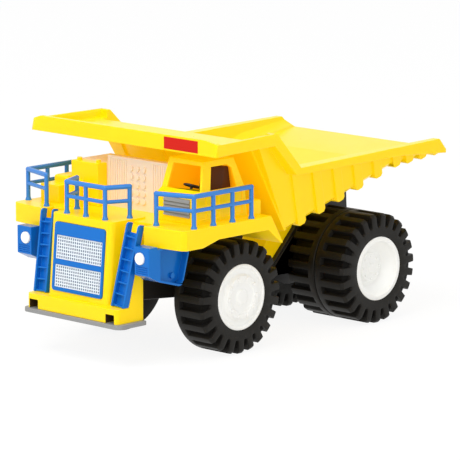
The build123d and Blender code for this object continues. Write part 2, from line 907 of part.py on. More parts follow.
# Cab: a hollow shell with cut windows
cab_profile = (
    (cab_rear_x, deck_seat),
    (cab_front_x, deck_seat),
    (cab_front_x, cab_sill - cab_sill_drop),
    (cab_windscreen_foot_x, cab_sill + 3.0),
    (cab_windscreen_head_x, cab_top),
    (cab_rear_top_x, cab_top),
    (cab_rear_waist_x, cab_sill),
)
cab_inside_front_x = cab_front_x - 2 * cab_wall
cab_cavity_profile = (
    (cab_rear_x + cab_wall, deck_top),
    (cab_inside_front_x, deck_top),
    (cab_inside_front_x, cab_sill - cab_sill_drop - 2.0),
    (cab_windscreen_foot_x - cab_wall, cab_sill + 1.0),
    (cab_windscreen_head_x - cab_wall, cab_top - cab_wall),
    (cab_rear_top_x + cab_wall, cab_top - cab_wall),
    (cab_rear_waist_x + cab_wall, cab_sill),
)


def cab_cross(inset, bottom, top):
    """Front outline of the cab as (y, z) points, inset by a wall."""
    head = place_at(top, (cab_outer_y, cab_sill), (cab_outer_top_y, cab_top))
    return (
        (cab_inner_y + inset, bottom),
        (cab_outer_y - inset, bottom),
        (cab_outer_y - inset, cab_sill),
        (head - inset, top),
        (cab_inner_y + inset, top),
    )


def cab_block(profile, inset, bottom, top):
    """Side profile of the cab cut to its front outline."""
    with BuildPart() as block:
        with BuildSketch(Plane.XZ.offset(-cab_outer_y - 1.0)):
            with BuildLine():
                Polyline(*profile, close=True)
            make_face()
        extrude(amount=cab_outer_y - cab_inner_y + 2.0)
        with BuildSketch(Plane.YZ.offset(cab_rear_x - 1.0)):
            with BuildLine():
                Polyline(*cab_cross(inset, bottom, top), close=True)
            make_face()
        extrude(amount=cab_front_x - cab_rear_x + 2.0, mode=Mode.INTERSECT)
    return block.part


window_foot_z = cab_sill + window_sill
window_head_z = cab_top - window_head
louvre_left_y = cab_outer_y - louvre_outer_inset
louvre_right_y = cab_inner_y + louvre_inner_inset
louvre_bottom = deck_top + louvre_rise
cab_outer = cab_block(cab_profile, 0.0, deck_seat, cab_top)
cab_cavity = cab_block(cab_cavity_profile, cab_wall, deck_top, cab_top - cab_wall)
with BuildPart() as cab:
    add(cab_outer)
    add(cab_cavity, mode=Mode.SUBTRACT)
    with BuildSketch(Plane.YZ.offset(cab_windscreen_head_x - 8.0)):
        with BuildLine():
            Polyline(
                (cab_inner_y + window_inner_post, window_foot_z),
                (cab_outer_y - window_outer_post, window_foot_z),
                (cab_outer_top_y - window_outer_post, window_head_z),
                (cab_inner_y + window_inner_post, window_head_z),
                close=True,
            )
        make_face()
    extrude(amount=cab_front_x - cab_windscreen_head_x + 10.0, mode=Mode.SUBTRACT)
    with BuildSketch(Plane.XZ.offset(-cab_outer_y - 1.0)):
        with BuildLine():
            Polyline(
                (cab_windscreen_foot_x - side_window_front, window_foot_z),
                (cab_windscreen_head_x - 10.0, window_head_z - 1.5),
                (cab_rear_top_x + 13.0, window_head_z - 1.5),
                (cab_rear_top_x + 6.0, window_head_z - 5.5),
                (cab_rear_waist_x + side_window_rear, window_foot_z),
                close=True,
            )
        make_face()
    extrude(amount=cab_outer_y - cab_outer_top_y + 2 * cab_wall, mode=Mode.SUBTRACT)
    with BuildSketch(Plane.YZ.offset(cab_front_x)):
        with Locations(((louvre_left_y + louvre_right_y) / 2, louvre_bottom + louvre_tall / 2)):
            Rectangle(louvre_left_y - louvre_right_y + 2 * fit_gap, louvre_tall + 2 * fit_gap)
    extrude(amount=-louvre_sink - fit_gap, mode=Mode.SUBTRACT)
    with BuildSketch(Plane.XZ.offset(-cab_outer_y)):
        for panel_front, panel_rear in panel_spans:
            with Locations((
                cab_front_x - (panel_front + panel_rear) / 2,
                deck_top + panel_rise + panel_height / 2,
            )):
                Rectangle(panel_rear - panel_front, panel_height)
    extrude(amount=panel_depth, mode=Mode.SUBTRACT)
finish(cab, "cab")

# Louvre panel under the windscreen
slat_pitch = louvre_tall / slat_count
louvre_profile = [(cab_front_x - louvre_sink, louvre_bottom)]
for step in range(slat_count):
    slat_foot = louvre_bottom + step * slat_pitch
    louvre_profile.append((cab_front_x + slat_proud, slat_foot))
    louvre_profile.append((cab_front_x - fit_gap, slat_foot + slat_pitch))
louvre_profile.append((cab_front_x - louvre_sink, louvre_bottom + louvre_tall))
with BuildPart() as cab_louvre:
    with BuildSketch(Plane.XZ.offset(-louvre_left_y)):
        with BuildLine():
            Polyline(*louvre_profile, close=True)
        make_face()
    extrude(amount=louvre_left_y - louvre_right_y)
finish(cab_louvre, "cab_louvre")

# Seat, steering wheel and the dashboard that carries it
cab_middle_y = (cab_inner_y + cab_outer_y) / 2
with BuildPart() as seat:
    with BuildSketch(Plane.XZ.offset(-cab_middle_y - seat_width / 2)):
        with BuildLine():
            Polyline(
                (seat_rear_x + 2.0, deck_seat),
                (seat_front_x, deck_seat),
                (seat_front_x, seat_cushion_z + 1.0),
                (seat_rear_x + 17.0, seat_cushion_z),
                (seat_rear_x + 12.0, seat_back_top),
                (seat_rear_x + 5.0, seat_back_top),
                (seat_rear_x, seat_cushion_z),
                close=True,
            )
        make_face()
        fillet(vertices().group_by(Axis.Y)[-1], radius=seat_round)
    extrude(amount=seat_width)
finish(seat, "seat")

steering_plane = Plane(
    origin=(steering_x, cab_middle_y, steering_z),
    x_dir=(0, 1, 0),
    z_dir=(-0.35, 0, 1),
)
with BuildPart() as steering_wheel:
    with Locations(steering_plane):
        Torus(steering_radius, steering_rim)
        Box(2 * steering_radius, 2 * steering_rim, steering_rim)
        Cylinder(2 * steering_rim, 2 * steering_rim)
    with BuildSketch(steering_plane):
        Circle(steering_column)
    extrude(amount=-(steering_z - dash_top + 4.0))
finish(steering_wheel, "steering_wheel")

with BuildPart() as dashboard:
    with BuildSketch(Plane.XZ.offset(-(cab_outer_y - cab_wall - fit_gap))):
        with BuildLine():
            Polyline(
                (cab_inside_front_x - fit_gap, deck_seat),
                (cab_inside_front_x - fit_gap, dash_top - 2.0),
                (dash_rear_x + 5.0, dash_top),
                (dash_rear_x, dash_top - 6.0),
                (dash_rear_x, deck_seat),
                close=True,
            )
        make_face()
    extrude(amount=cab_outer_y - cab_inner_y - 2 * (cab_wall + fit_gap))
    with BuildSketch(steering_plane.offset(-2 * steering_rim)):
        Circle(steering_column + seat_gap)
    extrude(amount=-(steering_z - dash_top + 4.0), mode=Mode.SUBTRACT)
finish(dashboard, "dashboard")

# Cream hood with a ribbed front and a pad of round bosses
hood_left_y = cab_inner_y - fit_gap
hood_middle_z = (deck_seat + hood_crest_top) / 2
rib_height = hood_crest_top - deck_seat - 2 * hood_rib_inset
pad_half = pad_pitch_y + pad_boss_radius
rib_places_left = [hood_left_y - 2.0 - hood_rib_pitch * step for step in range(hood_rib_count)]
rib_places_right = [boss_pad_y - pad_half - 5.0 - hood_rib_pitch * step for step in range(hood_rib_count)]
with BuildPart() as hood:
    with BuildSketch(Plane.XY.offset(deck_seat)):
        with BuildLine():
            Polyline(
                (hood_rear_x, hood_right_y),
                (hood_front_x, hood_right_y),
                (hood_front_x, hood_left_y),
                (hood_rear_x, hood_left_y),
                close=True,
            )
        make_face()
    extrude(amount=hood_top - deck_seat)
    with BuildSketch(Plane.YZ.offset(hood_front_x)):
        with BuildLine():
            Polyline(
                (hood_left_y, hood_top),
                (hood_left_y, hood_crest_top),
                (cabinet_left_y + fit_gap, hood_crest_top),
                (cabinet_left_y + fit_gap, hood_top),
                close=True,
            )
        make_face()
    extrude(amount=-hood_crest_depth)
    with BuildSketch(Plane.YZ.offset(hood_front_x)):
        with Locations(*[(y, hood_middle_z) for y in rib_places_left + rib_places_right]):
            Rectangle(hood_rib_width, rib_height)
    extrude(amount=hood_rib_proud)
    with BuildSketch(Plane.YZ.offset(hood_front_x)):
        with Locations((boss_pad_y, hood_middle_z)):
            with GridLocations(pad_pitch_y, pad_pitch_z, pad_columns, pad_rows):
                Circle(pad_boss_radius)
    extrude(amount=pad_boss_proud)
finish(hood, "hood")

# Right-hand cabinet with pins on its top, the dome and the stepped boxes
cabinet_rear_x = hood_front_x + fit_gap
with BuildPart() as cabinet:
    with BuildSketch(Plane.XY.offset(deck_seat)):
        with BuildLine():
            Polyline(
                (cabinet_rear_x, hood_right_y),
                (cabinet_front_x, hood_right_y),
                (cabinet_front_x, cabinet_left_y),
                (cabinet_rear_x, cabinet_left_y),
                close=True,
            )
        make_face()
    extrude(amount=hood_top - deck_seat)
    with BuildSketch(Plane.XY.offset(hood_top)):
        with Locations(
            ((cabinet_rear_x + cabinet_front_x) / 2, hood_right_y + cabinet_pin_inset),
            ((cabinet_rear_x + cabinet_front_x) / 2, cabinet_left_y - cabinet_pin_inset),
        ):
            Circle(cabinet_pin_radius)
    extrude(amount=cabinet_pin_height)
finish(cabinet, "cabinet")

with BuildPart() as air_cleaner:
    with BuildSketch(Plane.XY.offset(deck_seat)):
        with Locations((dome_x, dome_y)):
            Circle(dome_radius)
    extrude(amount=dome_height)
    fillet(faces().sort_by(Axis.Z)[-1].edges(), radius=dome_round)
finish(air_cleaner, "air_cleaner")

with BuildPart() as step_boxes:
    box_floor = deck_seat
    for box_x, box_y, box_length, box_width, box_height in (low_box, high_box):
        with BuildSketch(Plane.XY.offset(box_floor)):
            with Locations((box_x, box_y)):
                Rectangle(box_length, box_width)
        extrude(amount=box_height)
        box_floor += box_height
    fillet(faces().sort_by(Axis.Z)[-1].edges(), radius=box_round)
finish(step_boxes, "step_boxes")

with BuildPart() as rear_box:
    with BuildSketch(Plane.XY.offset(deck_seat)):
        with Locations((deck_rear_x + rear_box_inset[0], deck_half_width - rear_box_inset[1])):
            Rectangle(rear_box_size[0], rear_box_size[1])
    extrude(amount=rear_box_size[2])
    fillet(faces().sort_by(Axis.Z)[-1].edges(), radius=rear_box_round)
finish(rear_box, "rear_box")

# Dump bed
wall_rise = bed_brow_z - bed_keel_z
wall_spread = bed_brow_half - bed_keel_half
wall_lean = hypot(wall_rise, wall_spread)


def bed_side(side, grow):
    """Sloping plane of a bed wall, moved outwards by grow."""
    normal = Vector(0, side * wall_rise / wall_lean, -wall_spread / wall_lean)
    origin = Vector(0, side * bed_keel_half, bed_keel_z) + normal * grow
    return Plane(origin=origin, x_dir=(1, 0, 0), z_dir=normal)


def bed_slab(points, grow, inset=0.0, bevel=0.0):
    """Side profile between the bed's sloping walls, with bevelled lower edges."""
    with BuildPart() as slab:
        with BuildSketch(Plane.XZ.offset(-(bed_nose_half + 20.0))):
            with BuildLine():
                Polyline(*points, close=True)
            make_face()
            if inset:
                offset(amount=-inset, kind=Kind.INTERSECTION)
        extrude(amount=2 * (bed_nose_half + 20.0))
        split(bisect_by=bed_side(1, grow), keep=Keep.BOTTOM)
        split(bisect_by=bed_side(-1, grow), keep=Keep.BOTTOM)
        if bevel:
            low_edges = edges().filter_by(
                lambda e: abs(e.center().Y) > bed_keel_half - 8
                and e.center().Z < bed_floor_z(e.center().X) + 6.0
                and e.center().X < bed_keel_x + 1.0
            )
            chamfer(low_edges, length=bevel)
    return slab.part


def bed_floor_z(x):
    """Height of the underside of the bed floor."""
    if x > bed_break_x:
        return height_at(x, (bed_keel_x, bed_keel_z), (bed_break_x, bed_break_z))
    return height_at(x, (bed_break_x, bed_break_z), (bed_tail_x, bed_tail_floor_z))


tail_lip_z = bed_tail_floor_z + tail_lip
tub_profile = (
    (bed_keel_x, bed_keel_z),
    (bed_break_x, bed_break_z),
    (bed_tail_x, bed_tail_floor_z),
    (bed_tail_x, tail_lip_z),
    (rim_tail_x, rim_tail_z),
    (bed_waist_x, rim_low_z),
    (rim_dip_x, rim_dip_z),
    (bed_nose_x - 1.0, rim_front_z),
    (bed_nose_x - 1.0, bed_brow_z),
    (bed_brow_x, bed_brow_z),
)
brow_slope = (bed_brow_x - bed_keel_x) / (bed_brow_z - bed_keel_z)
sky = 300.0
cavity_profile = (
    (bed_keel_x, bed_keel_z),
    (bed_break_x, bed_break_z),
    (-sky, bed_floor_z(-sky)),
    (-sky, sky),
    (bed_keel_x + brow_slope * (sky - bed_keel_z), sky),
)
rim_break_z = height_at(bed_break_x, (bed_waist_x, rim_low_z), (rim_tail_x, rim_tail_z))
rim_profile = (
    (bed_nose_x, canopy_bottom),
    (bed_nose_x, rim_front_z),
    (rim_dip_x, rim_dip_z),
    (bed_waist_x, rim_low_z),
    (rim_tail_x, rim_tail_z),
    (bed_tail_x, tail_lip_z),
    (bed_tail_x, tail_lip_z - rim_wall),
    (bed_break_x, rim_break_z - rim_band),
    (bed_waist_x + rim_band_drop, rim_low_z - rim_band_drop),
    (rim_dip_x + 5.0, canopy_bottom + 0.8),
)
corner_y = bed_nose_half - canopy_corner
corner_x = bed_nose_x - canopy_corner_back
bed_plan = (
    (bed_tail_x, 0),
    (bed_nose_x, 0),
    (bed_nose_x, corner_y),
    (corner_x, bed_nose_half),
    (bed_waist_x, bed_waist_half),
    (bed_tail_x, bed_tail_half),
)


def canopy_pocket(rear_x):
    """Half plan of the hollow inside the canopy's rim, from a rear edge."""
    edge_half = place_at(rear_x, (bed_waist_half, bed_waist_x), (bed_nose_half, corner_x))
    return (
        (rear_x, 0),
        (bed_nose_x - rim_wall, 0),
        (bed_nose_x - rim_wall, corner_y - 2.0),
        (corner_x - rim_wall + 2.0, bed_nose_half - rim_wall),
        (rear_x, edge_half - rim_wall),
    )


fascia_outline = (
    (0, canopy_bottom),
    (0, fascia_top),
    (bed_nose_half - canopy_facet_inset, fascia_top),
    (bed_nose_half, rim_front_z),
    (bed_nose_half, canopy_bottom),
)
with BuildPart() as fascia:
    with BuildSketch(Plane.YZ.offset(bed_nose_x)):
        with BuildLine():
            Polyline(*fascia_outline, close=True)
        make_face()
        mirror(about=Plane.YZ)
    extrude(amount=-2 * rim_wall)
tub_outer = bed_slab(tub_profile, 0.0, bevel=keel_bevel)
tub_cavity = bed_slab(cavity_profile, -bed_wall, inset=bed_wall, bevel=inner_bevel)
rim_bar = side_prism(rim_profile, bed_nose_half + 5.0)
plan_block = plan_prism(bed_plan, bed_keel_z, sky)
tray_void = plan_prism(canopy_pocket(rim_dip_x + canopy_rear_inset), canopy_floor, sky)
under_void = plan_prism(canopy_pocket(bed_brow_x + 8.0), canopy_bottom - 2.0, bed_brow_z)
leg_foot_z = beam_top + fit_gap
leg_heel_x = place_at(leg_foot_z, (slope_foot_x, chassis_bottom), (slope_head_x, slope_head_z))
leg_profile = (
    (leg_toe_x, leg_foot_z),
    (leg_heel_x + run_gap, leg_foot_z),
    (slope_head_x + run_gap, slope_head_z),
    (leg_rear_x, bed_floor_z(leg_rear_x) + bed_wall / 2),
    (leg_front_x, bed_floor_z(leg_front_x) + bed_wall / 2),
)
bed_leg = side_prism(leg_profile, leg_half)
floor_angle = atan2(bed_break_z - bed_keel_z, bed_keel_x - bed_break_x)


def bed_rib(x):
    """One rib that wraps the floor and both walls, square to the floor."""
    foot = Vector(x, bed_floor_z(x))
    up = Vector(sin(floor_angle), cos(floor_angle))
    back = Vector(-cos(floor_angle), sin(floor_angle))
    rise = (rim_low_z - rib_head - foot.Y) / cos(floor_angle)
    corners = (
        foot + back * (rib_width / 2) + up * rise,
        foot + back * (rib_width / 2),
        foot + back * (rib_width / 2 - rib_bevel) - up * rib_depth,
        foot - back * (rib_width / 2 - rib_bevel) - up * rib_depth,
        foot - back * (rib_width / 2),
        foot - back * (rib_width / 2) + up * rise,
    )
    return bed_slab([(c.X, c.Y) for c in corners], rib_depth)


headboard_plane = Plane(
    origin=(bed_keel_x, 0, bed_keel_z),
    x_dir=(0, 1, 0),
    z_dir=(bed_brow_z - bed_keel_z, 0, bed_keel_x - bed_brow_x),
)
headboard_length = hypot(bed_brow_z - bed_keel_z, bed_brow_x - bed_keel_x)


def corner_cut(side):
    """Sloping plane that bevels a front corner of the canopy's fascia."""
    ahead, aside, above = canopy_facet_lean
    facet_y = side * (bed_nose_half - canopy_facet_inset)
    return Plane(origin=(bed_nose_x, facet_y, fascia_top), z_dir=(ahead, side * aside, above))


with BuildPart() as rim_and_canopy:
    add(rim_bar)
    add(fascia.part)
    add(plan_block, mode=Mode.INTERSECT)
    split(bisect_by=corner_cut(1), keep=Keep.BOTTOM)
    split(bisect_by=corner_cut(-1), keep=Keep.BOTTOM)
    add(under_void, mode=Mode.SUBTRACT)
with BuildPart() as dump_bed:
    add(tub_outer)
    for x in rib_places:
        add(bed_rib(x))
    add(rim_and_canopy.part)
    add(bed_leg)
    for band_y, band_width in headboard_bands:
        with BuildSketch(headboard_plane.offset(-bed_wall / 2)):
            with Locations((band_y, headboard_length / 2)):
                Rectangle(band_width, headboard_length - 2 * rib_depth)
        extrude(amount=bed_wall / 2 + rib_depth)
    add(tray_void, mode=Mode.SUBTRACT)
    add(tub_cavity, mode=Mode.SUBTRACT)
    for ear_face in (ear_inner_y, -(ear_inner_y + hinge_ear)):
        with BuildSketch(Plane.XZ.offset(ear_face)):
            with BuildLine():
                Polyline(
                    (hinge_x - hinge_ear_radius, hinge_z),
                    (hinge_x + hinge_ear_radius, hinge_z),
                    (hinge_x + ear_spread, bed_floor_z(hinge_x + ear_spread) + bed_wall / 2),
                    (hinge_x - ear_spread, bed_floor_z(hinge_x - ear_spread) + bed_wall / 2),
                    close=True,
                )
            make_face()
            with Locations((hinge_x, hinge_z)):
                Circle(hinge_ear_radius)
                Circle(hinge_pin_radius + fit_gap / 2, mode=Mode.SUBTRACT)
        extrude(amount=hinge_ear)
finish(dump_bed, "dump_bed")

# Blank sticker on the fascia
with BuildPart() as sticker:
    with BuildSketch(Plane.YZ.offset(bed_nose_x)):
        with Locations((bed_nose_half - sticker_inset, (canopy_bottom + fascia_top) / 2)):
            Rectangle(sticker_width, sticker_height)
    extrude(amount=sticker_thickness)
finish(sticker, "sticker")
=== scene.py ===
"""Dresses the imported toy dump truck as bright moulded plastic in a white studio.

Lengths in the fields of the truck's pieces are millimetres, and turn into Blender's metres where
a mesh is made. The studio's and the camera's are metres. A left side is at +Y.
"""
import logging
import math
from dataclasses import dataclass
from enum import Enum

import bmesh
import bpy
from mathutils import Matrix, Vector


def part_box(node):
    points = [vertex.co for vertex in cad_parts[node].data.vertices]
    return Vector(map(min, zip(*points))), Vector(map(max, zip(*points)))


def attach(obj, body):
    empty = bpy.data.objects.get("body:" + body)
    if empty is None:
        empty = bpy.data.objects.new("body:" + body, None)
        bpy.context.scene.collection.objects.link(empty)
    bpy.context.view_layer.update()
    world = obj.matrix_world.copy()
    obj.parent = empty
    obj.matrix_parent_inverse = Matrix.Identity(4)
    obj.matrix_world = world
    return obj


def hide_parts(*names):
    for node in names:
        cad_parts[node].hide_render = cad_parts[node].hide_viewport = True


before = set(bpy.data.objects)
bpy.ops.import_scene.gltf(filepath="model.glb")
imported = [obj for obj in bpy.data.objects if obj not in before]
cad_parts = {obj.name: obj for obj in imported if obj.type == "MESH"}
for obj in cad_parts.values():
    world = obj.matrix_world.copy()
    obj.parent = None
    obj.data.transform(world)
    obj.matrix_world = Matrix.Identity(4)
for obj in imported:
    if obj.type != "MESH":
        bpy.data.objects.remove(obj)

LOG = logging.getLogger("toy_dump_truck")
MM = 0.001

# Points of a spun mesh that lie nearer than this, in millimetres, are joined.
WELD = 0.01


class Side(Enum):
    """The truck's two sides, as the sign of +Y."""

    LEFT = 1
    RIGHT = -1

    @property
    def word(self) -> str:
        """The side's name as the nodes carry it."""
        return self.name.lower()


class Body(Enum):
    """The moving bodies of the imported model."""

    CHASSIS = "chassis"
    BED = "bed"
    FRONT_LEFT = "front_left_wheel"
    FRONT_RIGHT = "front_right_wheel"
    REAR_LEFT = "rear_left_wheels"
    REAR_RIGHT = "rear_right_wheels"


def of_kind(geom: list, kind: type) -> list:
    """The elements of an operator's result that are of one kind."""
    return [element for element in geom if isinstance(element, kind)]


def math_node(tree: bpy.types.NodeTree, operation: str) -> bpy.types.Node:
    """Add a math node to a shader tree.

    Args:
        tree: The tree.
        operation: What the node does with its inputs.

    Returns:
        The node.
    """
    node = tree.nodes.new("ShaderNodeMath")
    node.operation = operation
    return node


# Finishes


class NodeGroups:
    """Shader groups that several plastics share, each built once."""

    def __init__(self) -> None:
        """Build the groups."""
        self.tone = self._tone_drift()
        self.skin = self._moulded_skin()

    @staticmethod
    def _new(name: str, inputs: dict[str, str],
             outputs: dict[str, str]) -> tuple[bpy.types.NodeTree, bpy.types.Node, bpy.types.Node]:
        """Start a shader group with its sockets.

        Args:
            name: Name of the group.
            inputs: Socket types by input name.
            outputs: Socket types by output name.

        Returns:
            The group with its input node and output node.
        """
        group = bpy.data.node_groups.new(name, "ShaderNodeTree")
        for label, kind in inputs.items():
            group.interface.new_socket(name=label, in_out="INPUT", socket_type=kind)
        for label, kind in outputs.items():
            group.interface.new_socket(name=label, in_out="OUTPUT", socket_type=kind)
        return group, group.nodes.new("NodeGroupInput"), group.nodes.new("NodeGroupOutput")

    def _tone_drift(self) -> bpy.types.NodeTree:
        """Group that lets a colour drift a little over a moulding.

        Returns:
            The group, with the inputs Coordinates, Scale, Colour, Drift Colour and Amount.
        """
        group, start, end = self._new(
            "Tone drift",
            {"Coordinates": "NodeSocketVector", "Scale": "NodeSocketFloat",
             "Colour": "NodeSocketColor", "Drift Colour": "NodeSocketColor",
             "Amount": "NodeSocketFloat"},
            {"Colour": "NodeSocketColor"},
        )
        noise = group.nodes.new("ShaderNodeTexNoise")
        noise.inputs["Detail"].default_value = 3.0
        noise.inputs["Roughness"].default_value = 0.55
        share = math_node(group, "MULTIPLY")
        mix = group.nodes.new("ShaderNodeMix")
        mix.data_type = "RGBA"
        link = group.links.new
        link(start.outputs["Coordinates"], noise.inputs["Vector"])
        link(start.outputs["Scale"], noise.inputs["Scale"])
        link(noise.outputs["Fac"], share.inputs[0])
        link(start.outputs["Amount"], share.inputs[1])
        link(share.outputs[0], mix.inputs["Factor"])
        link(start.outputs["Colour"], mix.inputs["A"])
        link(start.outputs["Drift Colour"], mix.inputs["B"])
        link(mix.outputs["Result"], end.inputs["Colour"])
        return group

    def _moulded_skin(self) -> bpy.types.NodeTree:
        """Group for the skin of a moulding: fine spark grain and rubbed patches.

        Returns:
            The group, with the inputs Coordinates, Grain Scale, Roughness and Rub.
        """
        group, start, end = self._new(
            "Moulded skin",
            {"Coordinates": "NodeSocketVector", "Grain Scale": "NodeSocketFloat",
             "Roughness": "NodeSocketFloat", "Rub": "NodeSocketFloat"},
            {"Roughness": "NodeSocketFloat", "Height": "NodeSocketFloat"},
        )
        rub = group.nodes.new("ShaderNodeTexNoise")
        rub.inputs["Scale"].default_value = 38.0
        rub.inputs["Detail"].default_value = 5.0
        grain = group.nodes.new("ShaderNodeTexNoise")
        grain.inputs["Detail"].default_value = 2.0
        centred = math_node(group, "SUBTRACT")
        noise_middle = 0.5
        centred.inputs[1].default_value = noise_middle
        spread = math_node(group, "MULTIPLY")
        total = math_node(group, "ADD")
        link = group.links.new
        link(start.outputs["Coordinates"], rub.inputs["Vector"])
        link(start.outputs["Coordinates"], grain.inputs["Vector"])
        link(start.outputs["Grain Scale"], grain.inputs["Scale"])
        link(rub.outputs["Fac"], centred.inputs[0])
        link(centred.outputs[0], spread.inputs[0])
        link(start.outputs["Rub"], spread.inputs[1])
        link(spread.outputs[0], total.inputs[0])
        link(start.outputs["Roughness"], total.inputs[1])
        link(total.outputs[0], end.inputs["Roughness"])
        link(grain.outputs["Fac"], end.inputs["Height"])
        return group


@dataclass(frozen=True)
class Finish:
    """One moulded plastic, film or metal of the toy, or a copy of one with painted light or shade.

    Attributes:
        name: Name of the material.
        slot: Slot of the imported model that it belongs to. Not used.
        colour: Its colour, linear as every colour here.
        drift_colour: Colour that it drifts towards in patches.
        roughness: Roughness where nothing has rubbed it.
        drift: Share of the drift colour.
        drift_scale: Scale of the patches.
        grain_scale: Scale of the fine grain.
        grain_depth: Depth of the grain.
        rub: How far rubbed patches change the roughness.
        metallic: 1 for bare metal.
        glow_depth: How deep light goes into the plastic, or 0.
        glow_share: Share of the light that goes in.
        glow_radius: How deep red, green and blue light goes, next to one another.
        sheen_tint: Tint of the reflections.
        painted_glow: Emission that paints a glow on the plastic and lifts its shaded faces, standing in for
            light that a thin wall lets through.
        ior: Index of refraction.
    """

    name: str
    slot: str
    colour: tuple[float, float, float]
    drift_colour: tuple[float, float, float]
    roughness: float
    drift: float = 0.35
    drift_scale: float = 9.0
    grain_scale: float = 900.0
    grain_depth: float = 0.02
    rub: float = 0.10
    metallic: float = 0.0
    glow_depth: float = 0.0
    glow_share: float = 0.3
    glow_radius: tuple[float, float, float] = (1.0, 1.0, 1.0)
    sheen_tint: tuple[float, float, float] = (1.0, 1.0, 1.0)
    painted_glow: tuple[float, float, float] = (0.0, 0.0, 0.0)
    ior: float = 1.45

    def build(self, groups: NodeGroups) -> bpy.types.Material:
        """Make the material.

        Args:
            groups: The shared shader groups.

        Returns:
            The finished material.
        """
        material = bpy.data.materials.new(self.name)
        material.use_nodes = True
        nodes, link = material.node_tree.nodes, material.node_tree.links.new
        shader = nodes["Principled BSDF"]
        place = nodes.new("ShaderNodeTexCoord")
        tone = nodes.new("ShaderNodeGroup")
        tone.node_tree = groups.tone
        self._set(tone, {"Scale": self.drift_scale, "Colour": (*self.colour, 1.0),
                         "Drift Colour": (*self.drift_colour, 1.0), "Amount": self.drift})
        skin = nodes.new("ShaderNodeGroup")
        skin.node_tree = groups.skin
        self._set(skin, {"Grain Scale": self.grain_scale, "Roughness": self.roughness, "Rub": self.rub})
        bump = nodes.new("ShaderNodeBump")
        self._set(bump, {"Distance": self.grain_depth * MM})
        link(place.outputs["Object"], tone.inputs["Coordinates"])
        link(place.outputs["Object"], skin.inputs["Coordinates"])
        link(tone.outputs["Colour"], shader.inputs["Base Color"])
        link(skin.outputs["Roughness"], shader.inputs["Roughness"])
        link(skin.outputs["Height"], bump.inputs["Height"])
        link(bump.outputs["Normal"], shader.inputs["Normal"])
        self._set(shader, {"Metallic": self.metallic, "IOR": self.ior,
                           "Specular Tint": (*self.sheen_tint, 1.0)})
        # Emission paints a glow on the surface that lifts its shade.
        if any(self.painted_glow):
            self._set(shader, {"Emission Color": (*self.painted_glow, 1.0), "Emission Strength": 1.0})
        if self.glow_depth:
            self._set(shader, {"Subsurface Weight": self.glow_share,
                               "Subsurface Radius": self.glow_radius,
                               "Subsurface Scale": self.glow_depth * MM})
        return material

    @staticmethod
    def _set(node: bpy.types.Node, values: dict[str, float | tuple[float, ...]]) -> None:
        """Give a node's inputs their values by name."""
        for label, value in values.items():
            node.inputs[label].default_value = value


# The emission on this yellow is a painted glow that lifts its shaded faces.
YELLOW = Finish("Yellow gloss plastic", "yellow_plastic", (0.97, 0.63, 0.003), (0.97, 0.60, 0.002), 0.30,
                glow_depth=3.0, glow_share=0.45, glow_radius=(1.0, 0.55, 0.04),
                sheen_tint=(1.0, 0.90, 0.45), painted_glow=(0.20, 0.15, 0.0))
# Copy of the yellow with a strong painted glow, for the cab's inside, which lies in shade.
CAB_PAINTED_GLOW_YELLOW = Finish("Yellow wall with the light behind it", "yellow_plastic", (0.97, 0.60, 0.003),
                    (0.97, 0.56, 0.002), 0.34, painted_glow=(0.46, 0.17, 0.0))
BLUE = Finish("Blue gloss plastic", "blue_plastic", (0.004, 0.145, 0.570), (0.004, 0.130, 0.520), 0.20,
              sheen_tint=(0.22, 0.72, 1.0), ior=1.55)
# Lighter copy of the blue for the railings, painted as the light that falls on their tops.
RAIL_PAINTED_LIGHT_BLUE = Finish("Blue gloss plastic of the railings", "blue_plastic", (0.020, 0.205, 0.640),
                   (0.016, 0.180, 0.580), 0.20, sheen_tint=(0.80, 0.90, 1.0), ior=1.60)
# Dark blue painted as shade on the floors of the grille's pockets.
POCKET_PAINTED_SHADE = Finish("Blue plastic in the shade", "blue_plastic", (0.010, 0.050, 0.170),
                   (0.008, 0.040, 0.140), 0.5)
# The emission on the white is a painted glow that brightens the hubs and lamps.
WHITE = Finish("White gloss plastic", "white_plastic", (0.91, 0.91, 0.89), (0.88, 0.89, 0.87), 0.34,
               glow_depth=1.5, painted_glow=(0.07, 0.07, 0.065))
GREY = Finish("Grey satin plastic", "grey_plastic", (0.30, 0.30, 0.295), (0.26, 0.26, 0.255), 0.45,
              grain_depth=0.04)
BLACK = Finish("Black satin plastic", "black_plastic", (0.017, 0.016, 0.015), (0.024, 0.021, 0.018), 0.42,
               grain_depth=0.04, ior=1.40)
TYRE = Finish("Black tyre plastic", "tyre_plastic", (0.010, 0.009, 0.008), (0.017, 0.014, 0.012), 0.48,
              grain_depth=0.05, grain_scale=700.0, rub=0.16, sheen_tint=(0.80, 0.80, 0.74), ior=1.32)
# Darker tyre plastic with weaker reflections: painted shade between the lugs.
GROOVE_PAINTED_SHADE = Finish("Black tyre plastic between the lugs", "tyre_plastic", (0.005, 0.0045, 0.004),
                     (0.008, 0.007, 0.006), 0.60, sheen_tint=(0.35, 0.35, 0.32), ior=1.28)
SCREEN = Finish("Pale plastic of the screens", "white_plastic", (0.84, 0.90, 0.95), (0.80, 0.87, 0.93), 0.34)
# Dark brown for the walls of the bumper's notches: painted shade on the yellow plastic.
NOTCH_PAINTED_SHADE = Finish("Plastic in a dark hole", "yellow_plastic", (0.060, 0.030, 0.004),
                   (0.045, 0.022, 0.004), 0.6)
